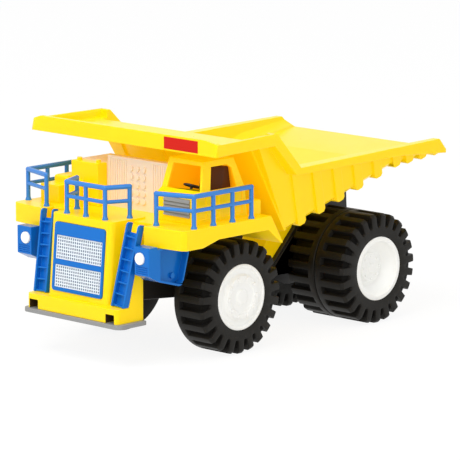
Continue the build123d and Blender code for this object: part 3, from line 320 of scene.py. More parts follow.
# The emission on the cream is a faint painted glow.
CREAM = Finish("Cream plastic", "cream_plastic", (0.90, 0.79, 0.70), (0.91, 0.75, 0.56), 0.38,
               drift=0.6, drift_scale=30.0, glow_depth=0.8, glow_radius=(1.0, 0.7, 0.4),
               painted_glow=(0.03, 0.02, 0.015))
BROWN = Finish("Dark brown plastic", "brown_plastic", (0.060, 0.022, 0.012), (0.045, 0.018, 0.010), 0.48)
STEEL = Finish("Drawn steel rod", "steel", (0.52, 0.52, 0.53), (0.42, 0.42, 0.44), 0.32, metallic=1.0,
               grain_scale=1400.0)
RED_FILM = Finish("Red printed film", "sticker", (0.64, 0.012, 0.006), (0.60, 0.010, 0.006), 0.40,
                  grain_depth=0.01, sheen_tint=(1.0, 0.45, 0.35), ior=1.35)


class Workshop:
    """Makes finished pieces from meshes and keeps one material for each finish."""

    def __init__(self) -> None:
        """Build the shared groups."""
        self.groups = NodeGroups()
        self.materials: dict[str, bpy.types.Material] = {}

    def material(self, finish: Finish) -> bpy.types.Material:
        """The material of a finish, built at its first use.

        Args:
            finish: The finish.

        Returns:
            Its only material.
        """
        if finish.name not in self.materials:
            self.materials[finish.name] = finish.build(self.groups)
        return self.materials[finish.name]

    def piece(self, name: str, bm: bmesh.types.BMesh, finish: Finish, body: str,
              *nodes: str, sharp_angle: float | None = 32.0) -> bpy.types.Object:
        """Turn a bmesh into a finished piece that stands for CAD nodes.

        Args:
            name: Name of the piece.
            bm: Mesh in metres in the model's frame. It is freed.
            finish: Its finish.
            body: Body it rides on.
            *nodes: CAD nodes that it stands for.
            sharp_angle: Edges over this many degrees are shaded sharp. None keeps the mesh's own.

        Returns:
            The new object.
        """
        mesh = bpy.data.meshes.new(name)
        for face in bm.faces:
            face.smooth = True
        bm.to_mesh(mesh)
        bm.free()
        if sharp_angle is not None:
            mesh.set_sharp_from_angle(angle=math.radians(sharp_angle))
        mesh.materials.append(self.material(finish))
        made = bpy.data.objects.new(name, mesh)
        bpy.context.scene.collection.objects.link(made)
        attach(made, body)
        if nodes:
            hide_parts(*nodes)
        LOG.info("%s: %d faces, %s", name, len(mesh.polygons), finish.name)
        return made


@dataclass(frozen=True)
class Zone:
    """Box on the left side of the truck that counts for both sides."""

    low: tuple[float, float, float]
    high: tuple[float, float, float]

    def holds(self, place: Vector) -> bool:
        """Whether a point in metres lies in the box or in its mirror image."""
        x, y, z = place / MM
        return all(low < value < high for low, value, high in zip(self.low, (x, abs(y), z), self.high))

    def walls(self, bm: bmesh.types.BMesh) -> list[bmesh.types.BMFace]:
        """Faces with their middle in the box.

        Args:
            bm: Mesh in metres.

        Returns:
            The faces, such as the walls of a recess.
        """
        return [face for face in bm.faces if self.holds(face.calc_center_median())]


@dataclass(frozen=True)
class Cavity:
    """Inside of a hollow moulding.

    Attributes:
        facing: How squarely a wall looks at the moulding's middle, with 1 for square.
    """

    facing: float = 0.25

    def walls(self, bm: bmesh.types.BMesh) -> list[bmesh.types.BMFace]:
        """Faces that look towards the moulding's middle.

        Args:
            bm: Mesh in metres.

        Returns:
            The cavity's walls.
        """
        middle = sum((vert.co for vert in bm.verts), Vector()) / len(bm.verts)
        return [face for face in bm.faces
                if (middle - face.calc_center_median()).normalized().dot(face.normal) > self.facing]


@dataclass(frozen=True)
class Pocket:
    """Floor of a shallow pocket, parallel to a plate's front.

    Attributes:
        depth: Least depth of the floor behind the front.
        parallel: How parallel the floor is to the front, with 1 for parallel.
    """

    depth: float
    parallel: float = 0.99

    def walls(self, bm: bmesh.types.BMesh) -> list[bmesh.types.BMFace]:
        """Faces that look the way the plate's front does, at least the depth behind it.

        Args:
            bm: Mesh in metres.

        Returns:
            The pocket's floors.
        """
        facing = max(bm.faces, key=lambda face: face.normal.x * face.calc_area()).normal.copy()
        front = max(vert.co.dot(facing) for vert in bm.verts)
        return [face for face in bm.faces
                if face.normal.dot(facing) > self.parallel
                and front - face.calc_center_median().dot(facing) > self.depth * MM]


@dataclass(frozen=True)
class MouldedCopy:
    """A CAD node's shape with the small round edges that a mould leaves.

    Attributes:
        node: The CAD node.
        finish: Finish of the moulding.
        body: Body it rides on.
        edge_radius: Radius of the round edges. With 0 all edges stay sharp.
        recess: Where the walls of a hole, pocket or cavity are, if they get painted light or shade.
        painted_light_finish: Finish that paints that light or shade on them.
        crisp: Where edges stay sharp.
        sharp_angle: Edges over this many degrees are rounded or shaded sharp.
        flat_angle: Faces up to this many degrees apart become one. With 0 none do.
        merge_distance: Points nearer than this are joined.
        least_room: Edges with less room than this stay sharp.
        bevel_share: Share of the room beside an edge that its round may take.
        segments: Faces across a round edge.
        area_weight: How much large faces lead the shading of their edges, of 100.
    """

    node: str
    finish: Finish
    body: Body = Body.CHASSIS
    edge_radius: float = 0.5
    recess: Zone | Cavity | Pocket | None = None
    painted_light_finish: Finish | None = None
    crisp: Zone | None = None
    sharp_angle: float = 28.0
    flat_angle: float = 0.2
    merge_distance: float = 0.005
    least_room: float = 0.25
    bevel_share: float = 0.42
    segments: int = 2
    area_weight: int = 90

    def build(self, shop: Workshop) -> bpy.types.Object:
        """Copy the node's mesh, give each sharp edge its width and round it.

        Args:
            shop: The workshop that finishes pieces.

        Returns:
            The rounded piece, in place of its node.
        """
        bm = bmesh.new()
        bm.from_mesh(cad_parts[self.node].data)
        bmesh.ops.remove_doubles(bm, verts=bm.verts, dist=self.merge_distance * MM)
        if self.flat_angle:
            bmesh.ops.dissolve_limit(bm, angle_limit=math.radians(self.flat_angle), verts=bm.verts,
                                     edges=bm.edges)
        bm.normal_update()
        self._weigh_edges(bm)
        # Faces in the recess take the second material, which paints light or shade on them.
        if self.recess:
            for face in self.recess.walls(bm):
                face.material_index = 1
        made = shop.piece(f"{self.node}_moulded", bm, self.finish, self.body.value, self.node,
                          sharp_angle=None)
        if self.painted_light_finish:
            made.data.materials.append(shop.material(self.painted_light_finish))
        self._add_modifiers(made)
        return made

    def _weigh_edges(self, bm: bmesh.types.BMesh) -> None:
        """Give each sharp edge its share of the full round, or leave it sharp.

        Args:
            bm: Mesh in metres.
        """
        weight = bm.edges.layers.float.new("bevel_weight_edge")
        radius = self.edge_radius * MM
        for edge in bm.edges:
            if edge.is_manifold and edge.calc_face_angle(0.0) > math.radians(self.sharp_angle):
                room = self._room(edge)
                crisp = self.crisp and any(self.crisp.holds(vert.co) for vert in edge.verts)
                if radius and room > self.least_room * MM and not crisp:
                    edge[weight] = min(1.0, self.bevel_share * room / radius)
                else:
                    edge.smooth = False

    @staticmethod
    def _room(edge: bmesh.types.BMEdge) -> float:
        """Length that a bevel of this edge may use up on its neighbours.

        Args:
            edge: A manifold edge.

        Returns:
            The shortest neighbouring edge's length, in metres.
        """
        room = math.inf
        for loop in edge.link_loops:
            for beside in (loop.link_loop_next.edge, loop.link_loop_prev.edge):
                room = min(room, beside.calc_length())
        return room

    def _add_modifiers(self, made: bpy.types.Object) -> None:
        """Round the weighed edges and keep the large faces' shading even.

        Args:
            made: The piece.
        """
        if self.edge_radius:
            bevel = made.modifiers.new("Round edges", "BEVEL")
            bevel.limit_method = "WEIGHT"
            bevel.width = self.edge_radius * MM
            bevel.segments = self.segments
            bevel.use_clamp_overlap = False
            bevel.harden_normals = False
        even = made.modifiers.new("Even faces", "WEIGHTED_NORMAL")
        even.keep_sharp = True
        even.weight = self.area_weight


# Wheels


def ring_profile(points: tuple[tuple[float, float], ...], corner: float) -> bmesh.types.BMesh:
    """Line of (radius, depth) points with rounded corners, ready for a spin.

    Args:
        points: Points from the first to the last, radius from the axle and place along it.
        corner: Radius of the rounded corners.

    Returns:
        A bmesh in millimetres with the line in the XY plane.
    """
    bm = bmesh.new()
    verts = [bm.verts.new((radius, along, 0.0)) for radius, along in points]
    for start, end in zip(verts, verts[1:]):
        bm.edges.new((start, end))
    bmesh.ops.bevel(bm, geom=verts[1:-1], offset=corner, segments=3, profile=0.5,
                    affect="VERTICES", clamp_overlap=True, material=-1)
    return bm


@dataclass(frozen=True)
class Axle:
    """A wheel's place on its axle line.

    Attributes:
        x: Place along the truck.
        z: Height.
        face_y: Place of the wheel's face.
        side: The side that the face looks to.
    """

    x: float
    z: float
    face_y: float
    side: Side

    def place(self) -> Matrix:
        """Matrix from wheel space (Y outwards, face at 0) to the model's frame in metres."""
        turn = Matrix.Diagonal((1.0, self.side.value, 1.0, 1.0))
        return Matrix.Translation((self.x * MM, self.face_y * MM, self.z * MM)) @ turn @ Matrix.Scale(MM, 4)


@dataclass(frozen=True)
class Tyre:
    """Lugged tyre: a full-radius tread with a groove between each two lugs.

    A groove starts at its foot on the face, passes the shoulder and ends blind in the tread.

    Attributes:
        radius: Radius over the lugs.
        bead_radius: Radius of the hole for the hub.
        width: Width from face to face.
        lugs: Number of lugs.
        groove_width: Width of a groove in the tread.
        foot_width: Width of a groove at its foot.
        floor_width: Width of a groove's floor.
        groove_foot: Radius of a groove's foot on the face.
        groove_floor: Radius of a groove's floor in the tread.
        groove_end: Distance of a groove's blind end from the face.
        foot_depth: Depth of the floor behind the face, at the foot.
        foot_rise: How far outside the groove's foot the floor starts.
        floor_depth: Depth of the floor behind the face, at the shoulder.
        end_run: How far before the blind end the floor stops.
        groove_round: Radius of the corners at a groove's foot and blind end.
        shoulder: Size of the chamfer on the grooves' side.
        inner_shoulder: Size of the chamfer on the other side.
        edge_round: Radius of the round edges.
        edge_angle: Edges over this many degrees are rounded.
        corner_angle: A groove's corners are over this many degrees.
        corner_rise: Least change of radius along a corner at the blind end.
        corner_run: Least change of depth along a corner at the foot.
        corner_reach: A corner at the foot starts within this distance of the foot.
        corner_turn: Angle in radians over which an edge runs round the tyre and is no corner.
        near: Points within this distance of a line count as on it.
    """

    radius: float = 64.5
    bead_radius: float = 37.5
    width: float = 43.0
    lugs: int = 23
    groove_width: float = 9.4
    foot_width: float = 4.2
    floor_width: float = 7.2
    groove_foot: float = 48.4
    groove_floor: float = 58.8
    groove_end: float = 34.5
    foot_depth: float = 2.6
    foot_rise: float = 0.8
    floor_depth: float = 4.8
    end_run: float = 0.6
    groove_round: float = 1.6
    shoulder: float = 3.2
    inner_shoulder: float = 1.2
    edge_round: float = 0.55
    edge_angle: float = 38.0
    corner_angle: float = 50.0
    corner_rise: float = 3.0
    corner_run: float = 2.5
    corner_reach: float = 1.5
    corner_turn: float = 0.01
    near: float = 0.1

    def build(self, shop: Workshop, node: str, body: Body, axle: Axle) -> bpy.types.Object:
        """Model one lug's sector, round it and repeat it round the axle.

        Args:
            shop: The workshop that finishes pieces.
            node: The CAD node that the tyre stands for.
            body: Body it rides on.
            axle: Its axle line and its face with the open ends of the grooves.

        Returns:
            The tyre.
        """
        bm = self._sector()
        pitch = 2 * math.pi / self.lugs
        bmesh.ops.spin(bm, geom=bm.verts[:] + bm.edges[:] + bm.faces[:], cent=(0, 0, 0), axis=(0, 1, 0),
                       angle=2 * math.pi - pitch, steps=self.lugs - 1, use_duplicate=True)
        bmesh.ops.remove_doubles(bm, verts=bm.verts, dist=WELD)
        bmesh.ops.delete(bm, geom=[edge for edge in bm.edges if edge.is_wire], context="EDGES")
        bmesh.ops.recalc_face_normals(bm, faces=bm.faces)
        bmesh.ops.transform(bm, matrix=axle.place(), verts=bm.verts)
        bmesh.ops.recalc_face_normals(bm, faces=bm.faces)
        made = shop.piece(f"{node}_lugged", bm, TYRE, body.value, node)
        # Second material: painted shade for the groove faces.
        made.data.materials.append(shop.material(GROOVE_PAINTED_SHADE))
        return made

    def _sector(self) -> bmesh.types.BMesh:
        """One lug pitch of the tyre in millimetres, with its groove in the middle.

        Returns:
            The sector, open at its two cuts.
        """
        outline = (
            (self.bead_radius, 0.0),
            (self.groove_foot, 0.0),
            (self.radius - self.shoulder, 0.0),
            (self.radius, -self.shoulder),
            (self.radius, -self.groove_end),
            (self.radius, self.inner_shoulder - self.width),
            (self.radius - self.inner_shoulder, -self.width),
            (self.bead_radius, -self.width),
        )
        bm = bmesh.new()
        verts = [bm.verts.new((radius, along, 0.0)) for radius, along in outline]
        ring = [bm.edges.new(ends) for ends in zip(verts, verts[1:] + verts[:1])]
        middle = math.pi / self.lugs
        half_groove = math.asin(self.groove_width / 2 / self.radius)
        half_land = middle - half_groove
        cut = self._sweep(bm, verts + ring, half_land, 1)
        before = set(bm.faces)
        cut = self._sweep(bm, cut, 2 * half_groove, 2)
        groove_faces = [face for face in bm.faces if face not in before and self._in_groove(face)]
        self._sweep(bm, cut, half_land, 1)
        foot_share = self.foot_width / self.groove_width * self.radius / self.groove_foot
        for vert in {vert for face in groove_faces for vert in face.verts if self._is_foot(vert)}:
            self._narrow(vert, middle, foot_share)
        self._sink(bm, groove_faces, middle)
        self._round(bm)
        to_the_ground = Matrix.Rotation(math.pi / 2, 3, "Y")
        bmesh.ops.rotate(bm, cent=(0, 0, 0), matrix=to_the_ground, verts=bm.verts)
        return bm

    @staticmethod
    def _sweep(bm: bmesh.types.BMesh, geom: list, angle: float, steps: int) -> list:
        """Sweep an outline round the axle.

        Args:
            bm: The sector.
            geom: The outline's points and edges.
            angle: How far it goes, in radians.
            steps: Faces along the way.

        Returns:
            The outline at the end of the way.
        """
        swept = bmesh.ops.spin(bm, geom=geom, cent=(0, 0, 0), axis=(0, 1, 0), angle=angle, steps=steps,
                               use_duplicate=False)
        return swept["geom_last"]

    @staticmethod
    def _radius(place: Vector) -> float:
        """Distance of a point from the axle line."""
        return math.hypot(place.x, place.z)

    def _is_foot(self, vert: bmesh.types.BMVert) -> bool:
        """Whether a point of the groove's outline lies at its foot."""
        return self._radius(vert.co) < self.groove_foot + self.near

    def _in_groove(self, face: bmesh.types.BMFace) -> bool:
        """Whether a face of the middle strip lies between the groove's foot and its blind end."""
        middle = face.calc_center_median()
        return self._radius(middle) > self.groove_foot and -self.groove_end < middle.y

    @staticmethod
    def _narrow(vert: bmesh.types.BMVert, middle: float, share: float) -> None:
        """Turn a point towards the groove's middle line.

        Args:
            vert: A point of the groove's outline or floor.
            middle: Angle of the groove's middle from the sector's first cut.
            share: Share of its angle from the middle that is left.
        """
        angle = -math.atan2(vert.co.z, vert.co.x)
        turn = (angle - middle) * (share - 1.0)
        vert.co.rotate(Matrix.Rotation(turn, 3, "Y"))

    def _sink(self, bm: bmesh.types.BMesh, faces: list[bmesh.types.BMFace], middle: float) -> None:
        """Press the groove's faces in to its floor.

        Args:
            bm: The sector.
            faces: Faces between the lugs that become the floor.
            middle: Angle of the groove's middle from the sector's first cut.
        """
        pressed = bmesh.ops.extrude_face_region(bm, geom=faces)["geom"]
        bmesh.ops.delete(bm, geom=[face for face in faces if face.is_valid], context="FACES_ONLY")
        # The pressed faces take the second material, painted darker as shade between the lugs.
        for face in of_kind(pressed, bmesh.types.BMFace):
            face.material_index = 1
        for vert in of_kind(pressed, bmesh.types.BMVert):
            radius = self._radius(vert.co)
            floor, along = self._floor_under(vert)
            if radius > self.groove_foot + self.near:
                self._narrow(vert, middle, self.floor_width / self.groove_width * self.radius / floor)
            vert.co = Vector((vert.co.x * floor / radius, along, vert.co.z * floor / radius))

    def _floor_under(self, vert: bmesh.types.BMVert) -> tuple[float, float]:
        """Where a point of the tread or the face lands on the groove's floor.

        Args:
            vert: A point of the groove's outline before it is pressed in.

        Returns:
            Its radius on the floor and its place along the axle.
        """
        if self._is_foot(vert):
            return self.groove_foot + self.foot_rise, -self.foot_depth
        if vert.co.y > -self.near:
            return (self.groove_foot + self.groove_floor) / 2, -(self.foot_depth + self.floor_depth) / 2
        if vert.co.y > -self.shoulder - self.near:
            return self.groove_floor, -self.floor_depth
        return self.groove_floor, vert.co.y + self.end_run

    def _round(self, bm: bmesh.types.BMesh) -> None:
        """Round the groove's ends, then every edge of the lug.

        Args:
            bm: The sector.
        """
        bm.normal_update()
        corners = [edge for edge in bm.edges if edge.is_manifold and self._stands_in_corner(edge)]
        bmesh.ops.bevel(bm, geom=corners, offset=self.groove_round, offset_type="OFFSET", segments=3,
                        profile=0.5, affect="EDGES", clamp_overlap=True, material=-1)
        bm.normal_update()
        limit = math.radians(self.edge_angle)
        sharp = [edge for edge in bm.edges if edge.is_manifold and edge.calc_face_angle(0.0) > limit]
        bmesh.ops.bevel(bm, geom=sharp, offset=self.edge_round, offset_type="OFFSET", segments=2,
                        profile=0.5, affect="EDGES", clamp_overlap=True, material=-1)

    def _stands_in_corner(self, edge: bmesh.types.BMEdge) -> bool:
        """Whether an edge joins the tread to the floor at one of the groove's ends.

        Args:
            edge: A manifold edge.

        Returns:
            True in the corners of the foot and of the blind end.
        """
        low, high = sorted((vert.co for vert in edge.verts), key=self._radius)
        rise = self._radius(high) - self._radius(low)
        at_blind_end = rise > self.corner_rise and abs(high.y + self.groove_end) < self.near
        starts_at_foot = self._radius(low) < self.groove_foot + self.corner_reach
        at_foot = abs(low.y - high.y) > self.corner_run and starts_at_foot
        across = abs(math.atan2(low.z, low.x) - math.atan2(high.z, high.x)) > self.corner_turn
        bent = edge.calc_face_angle(0.0) > math.radians(self.corner_angle)
        return (at_blind_end or at_foot) and not across and bent


@dataclass(frozen=True)
class BossRing:
    """Ring of small round bosses on a hub's face.

    Attributes:
        count: Number of bosses.
        ring_radius: Radius of the ring.
        boss_radius: Radius of a boss at its foot.
        foot: Place of its foot along the axle.
        top: Place of its top along the axle.
        taper: Share of the radius that is left at the top.
        sides: Faces round a boss.
    """

    count: int
    ring_radius: float
    boss_radius: float
    foot: float
    top: float
    taper: float = 0.72
    sides: int = 20

    def add_to(self, bm: bmesh.types.BMesh) -> None:
        """Stand the bosses on the face.

        Args:
            bm: The hub's mesh in wheel space, in millimetres.
        """
        outwards = Matrix.Rotation(-math.pi / 2, 4, "X")
        for step in range(self.count):
            turn = Matrix.Rotation(2 * math.pi * step / self.count, 4, "Y")
            place = Matrix.Translation((self.ring_radius, (self.foot + self.top) / 2, 0.0))
            bmesh.ops.create_cone(bm, cap_ends=True, segments=self.sides, radius1=self.boss_radius,
                                  radius2=self.taper * self.boss_radius, depth=self.top - self.foot,
                                  matrix=turn @ place @ outwards)


@dataclass(frozen=True)
class Hub:
    """Turned white hub with a dished face, and black painted on its back as shade.

    Attributes:
        face: (radius, place along the axle) points of its face, from the middle to the rim.
        depth: Depth from the wheel's face to the hub's back.
        bosses: The bosses on its face.
        corner: Radius of the rings' corners.
        bore_radius: Radius of the axle's bore at the back.
        bore_end_radius: Radius of the bore at its blind end.
        bore_cover: Thickness of the hub in front of the bore.
        sharp_angle: Edges over this many degrees are shaded sharp.
        steps: Faces round the hub.
    """

    face: tuple[tuple[float, float], ...]
    depth: float
    bosses: BossRing
    corner: float = 0.9
    bore_radius: float = 3.0
    bore_end_radius: float = 2.8
    bore_cover: float = 5.0
    sharp_angle: float = 40.0
    steps: int = 72

    def build(self, shop: Workshop, node: str, body: Body, axle: Axle) -> bpy.types.Object:
        """Spin the rounded profile round the axle.

        Args:
            shop: The workshop that finishes pieces.
            node: The CAD node that the hub stands for.
            body: Body it rides on.
            axle: Its axle line.

        Returns:
            The hub.
        """
        rim_radius = self.face[-1][0]
        bore_end = self.face[0][1] - self.bore_cover
        outline = (*self.face, (rim_radius, -self.depth), (self.bore_radius, -self.depth),
                   (self.bore_end_radius, bore_end), (0.0, bore_end))
        bm = ring_profile(outline, self.corner)
        bmesh.ops.spin(bm, geom=bm.verts[:] + bm.edges[:], cent=(0, 0, 0), axis=(0, 1, 0),
                       angle=2 * math.pi, steps=self.steps, use_merge=True, use_duplicate=False)
        bmesh.ops.remove_doubles(bm, verts=bm.verts, dist=WELD)
        # Faces of the hub's back take the black, painted as shade.
        for face in bm.faces:
            if face.calc_center_median().y < self.corner - self.depth:
                face.material_index = 1
        self.bosses.add_to(bm)
        bmesh.ops.transform(bm, matrix=axle.place(), verts=bm.verts)
        bmesh.ops.recalc_face_normals(bm, faces=bm.faces)
        made = shop.piece(f"{node}_turned", bm, WHITE, body.value, node, sharp_angle=self.sharp_angle)
        # Second material: black, painted as shade on the hub's back.
        made.data.materials.append(shop.material(BLACK))
        return made


@dataclass
class Wheels:
    """The four wheels: two in front and two pairs of twins behind.

    Attributes:
        shop: The workshop that finishes pieces.
        tyre: The tyre, which all wheels share.
        twin_gap: Gap between the tyres of a pair.
        front_face: Face of a front hub, as the hub class has it.
        rear_face: Face of a rear hub.
        front_bosses: Bosses of a front hub.
        rear_bosses: Bosses of a rear hub.
        axle_edge: Radius of the round edge at an axle's ends.
    """

    shop: Workshop
    tyre: Tyre = Tyre()
    twin_gap: float = 0.8
    front_face: tuple[tuple[float, float], ...] = (
        (0.0, 2.0), (8.0, 2.0), (9.5, 0.0), (17.0, 0.5), (18.5, 2.4), (25.0, 2.4), (26.5, -3.0),
        (32.4, -3.0), (34.0, 0.6), (37.47, 0.0))
    rear_face: tuple[tuple[float, float], ...] = (
        (0.0, -8.5), (5.5, -8.5), (6.5, -11.5), (16.5, -12.0), (17.5, -16.5), (21.5, -16.5), (30.5, -4.0),
        (32.0, 0.8), (37.47, 0.0))
    front_bosses: BossRing = BossRing(10, 21.6, 2.6, 1.8, 3.9)
    rear_bosses: BossRing = BossRing(8, 13.2, 1.7, -12.6, -10.6)
    axle_edge: float = 0.3

    def build(self) -> None:
        """Model every tyre and hub where its node stands, then the two axles."""
        self._front_wheel(Side.LEFT, Body.FRONT_LEFT)
        self._front_wheel(Side.RIGHT, Body.FRONT_RIGHT)
        self._rear_wheels(Side.LEFT, Body.REAR_LEFT)
        self._rear_wheels(Side.RIGHT, Body.REAR_RIGHT)
        for node in ("front_axle", "rear_axle"):
            MouldedCopy(node, STEEL, edge_radius=self.axle_edge).build(self.shop)

    def _front_wheel(self, side: Side, body: Body) -> None:
        """Model a front tyre and its hub.

        Args:
            side: The truck's side.
            body: Body of the wheel.
        """
        node = f"front_{side.word}_tyre"
        axle = self._axle_of(node, side)
        self.tyre.build(self.shop, node, body, axle)
        hub = Hub(self.front_face, self.tyre.width, self.front_bosses)
        hub.build(self.shop, f"front_{side.word}_hub", body, axle)

    def _rear_wheels(self, side: Side, body: Body) -> None:
        """Model a pair of rear tyres, back to back, on one hub.

        Args:
            side: The truck's side.
            body: Body of the pair.
        """
        node = f"rear_{side.word}_outer_tyre"
        outer = self._axle_of(node, side)
        self.tyre.build(self.shop, node, body, outer)
        pair_width = 2 * self.tyre.width + self.twin_gap
        inner = Axle(outer.x, outer.z, outer.face_y - side.value * pair_width, Side(-side.value))
        self.tyre.build(self.shop, f"rear_{side.word}_inner_tyre", body, inner)
        hub = Hub(self.rear_face, pair_width, self.rear_bosses)
        hub.build(self.shop, f"rear_{side.word}_hub", body, outer)

    @staticmethod
    def _axle_of(node: str, side: Side) -> Axle:
        """Axle line of the wheel whose tyre is this node.

        Args:
            node: A tyre's CAD node.
            side: The truck's side that its face points to.

        Returns:
            Its axle line, in millimetres.
        """
        low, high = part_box(node)
        face_y = high[1] if side is Side.LEFT else low[1]
        return Axle((low[0] + high[0]) / 2 / MM, (low[2] + high[2]) / 2 / MM, face_y / MM, side)


# Moulded body


@dataclass(frozen=True)
class PiercedScreens:
    """Two white screens of small windows in the grille plate, seated where the CAD has them.

    Attributes:
        columns: Windows across a screen.
        rows: Windows up a screen.
        bar: Width of the bars between the windows.
        rim_reach: In half bars, how far in from the border the outermost windows' edges may lie.
    """

    columns: int = 21
    rows: int = 7
    bar: float = 1.1
    rim_reach: float = 1.5

    def build(self, shop: Workshop) -> bpy.types.Object:
        """Pierce a screen for each of the plate's two pockets.

        Args:
            shop: The workshop that finishes pieces.

        Returns:
            Both screens as one piece.
        """
        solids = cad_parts["grille_screens"].data
        facing = max(solids.polygons, key=lambda face: face.normal.x * face.area).normal.copy()
        along = Vector((0.0, 1.0, 0.0))
        up = facing.cross(along)
        stand = Matrix((along, up, facing)).transposed().to_4x4()
        places = [vert.co for vert in solids.vertices]
        half_width = max(place.y for place in places)
        depths = [place.dot(facing) for place in places]
        front = max(depths)
        bm = bmesh.new()
        for low, high in self._spans([place.dot(up) for place in places]):
            middle = up * (low + high) / 2 + facing * front
            screen = self._screen(half_width, (high - low) / 2, front - min(depths))
            bmesh.ops.transform(screen, matrix=Matrix.Translation(middle) @ stand, verts=screen.verts)
            part = bpy.data.meshes.new("Screen")
            screen.to_mesh(part)
            screen.free()
            bm.from_mesh(part)
            bpy.data.meshes.remove(part)
        return shop.piece("grille_screens_pierced", bm, SCREEN, Body.CHASSIS.value, "grille_screens")

    @staticmethod
    def _spans(heights: list[float]) -> tuple[tuple[float, float], tuple[float, float]]:
        """Where the lower and the upper screen start and end.

        Args:
            heights: Heights of all points of both screens.

        Returns:
            Each screen's lowest and highest point, split at the widest gap.
        """
        ordered = sorted(heights)
        split = max(range(1, len(ordered)), key=lambda step: ordered[step] - ordered[step - 1])
        return (ordered[0], ordered[split - 1]), (ordered[split], ordered[-1])

    def _screen(self, half_width: float, half_height: float, thickness: float) -> bmesh.types.BMesh:
        """One screen in its own plane, with its front at 0.

        Args:
            half_width: Half of its width in metres.
            half_height: Half of its height in metres.
            thickness: Its thickness in metres.

        Returns:
            The screen.
        """
        bm = bmesh.new()
        bmesh.ops.create_grid(bm, x_segments=self.columns, y_segments=self.rows, size=1.0)
        spread = Matrix.Diagonal((half_width - self.half_bar, half_height - self.half_bar, 1.0, 1.0))
        bmesh.ops.transform(bm, matrix=spread, verts=bm.verts)
        windows = bm.faces[:]
        bmesh.ops.inset_individual(bm, faces=windows, thickness=self.half_bar, use_even_offset=True)
        bmesh.ops.delete(bm, geom=windows, context="FACES")
        rim = [edge for edge in bm.edges if edge.is_boundary and self._on_rim(edge, half_width, half_height)]
        grown = bmesh.ops.extrude_edge_only(bm, edges=rim)["geom"]
        for vert in of_kind(grown, bmesh.types.BMVert):
            if self._at_border(vert.co.x, half_width):
                vert.co.x = math.copysign(half_width, vert.co.x)
            if self._at_border(vert.co.y, half_height):
                vert.co.y = math.copysign(half_height, vert.co.y)
        back = bmesh.ops.extrude_face_region(bm, geom=bm.faces[:])["geom"]
        bmesh.ops.translate(bm, vec=(0.0, 0.0, -thickness), verts=of_kind(back, bmesh.types.BMVert))
        bmesh.ops.recalc_face_normals(bm, faces=bm.faces)
        return bm

    @property
    def half_bar(self) -> float:
        """Half of a bar's width in metres."""
        return self.bar * MM / 2

    def _at_border(self, place: float, half_size: float) -> bool:
        """Whether a coordinate lies on the grid's outermost line."""
        return abs(place) > half_size - self.rim_reach * self.half_bar

    def _on_rim(self, edge: bmesh.types.BMEdge, half_width: float, half_height: float) -> bool:
        """Whether an edge lies on the grid's outer border.

        Args:
            edge: An edge of the grid.
            half_width: Half of the screen's width in metres.
            half_height: Half of the screen's height in metres.

        Returns:
            True along the sides, the top and the bottom.
        """
        on_side = all(self._at_border(vert.co.x, half_width) for vert in edge.verts)
        on_end = all(self._at_border(vert.co.y, half_height) for vert in edge.verts)
        return on_side or on_end


@dataclass
class Backbone:
    """Black chassis with the hinge pin of the bed.

    Attributes:
        shop: The workshop that finishes pieces.
        chassis_edge: Radius of the chassis's round edges.
        pin_edge: Radius of the round edge at the pin's ends.
    """

    shop: Workshop
    chassis_edge: float = 0.8
    pin_edge: float = 0.3

    def build(self) -> None:
        """Round and finish the chassis and the pin."""
        MouldedCopy("chassis", BLACK, edge_radius=self.chassis_edge).build(self.shop)
        MouldedCopy("hinge_pin", STEEL, edge_radius=self.pin_edge).build(self.shop)


@dataclass
class FrontBody:
    """Radiator housing, grille, ladders, lamps and bumper plate.

    Attributes:
        shop: The workshop that finishes pieces.
        notch: Box round the notch in each end of the bumper, whose walls get painted shade.
        pocket: The pockets that the screens sit in, whose floors get painted shade.
        screens: The pierced screens.
        housing_edge: Radius of the housing's round edges.
        grille_edge: That of the grille plate.
        skid_edge: That of the plate under the bumper.
        ladder_edge: That of the ladders.
        lamp_box_edge: That of the lamp boxes.
        lamp_edge: That of the lamps.
    """

    shop: Workshop
    notch: Zone = Zone((221.0, 54.0, 49.0), (240.0, 68.0, 61.5))
    pocket: Pocket = Pocket(1.0)
    screens: PiercedScreens = PiercedScreens()
    housing_edge: float = 1.0
    grille_edge: float = 0.5
    skid_edge: float = 0.9
    ladder_edge: float = 0.6
    lamp_box_edge: float = 0.8
    lamp_edge: float = 0.4

    def build(self) -> None:
        """Round and finish each moulding of the truck's front."""
        # The walls of the bumper's notches get painted shade.
        MouldedCopy("radiator_housing", YELLOW, edge_radius=self.housing_edge, recess=self.notch,
                    painted_light_finish=NOTCH_PAINTED_SHADE).build(self.shop)
        # The floors of the grille's pockets get painted shade.
        MouldedCopy("grille_plate", BLUE, edge_radius=self.grille_edge, recess=self.pocket,
                    painted_light_finish=POCKET_PAINTED_SHADE).build(self.shop)
        self.screens.build(self.shop)
        MouldedCopy("skid_plate", GREY, edge_radius=self.skid_edge).build(self.shop)
        for side in Side:
            MouldedCopy(f"ladder_{side.word}", BLUE, edge_radius=self.ladder_edge).build(self.shop)
            MouldedCopy(f"lamp_box_{side.word}", BLUE, edge_radius=self.lamp_box_edge).build(self.shop)
            MouldedCopy(f"lamp_{side.word}", WHITE, edge_radius=self.lamp_edge).build(self.shop)


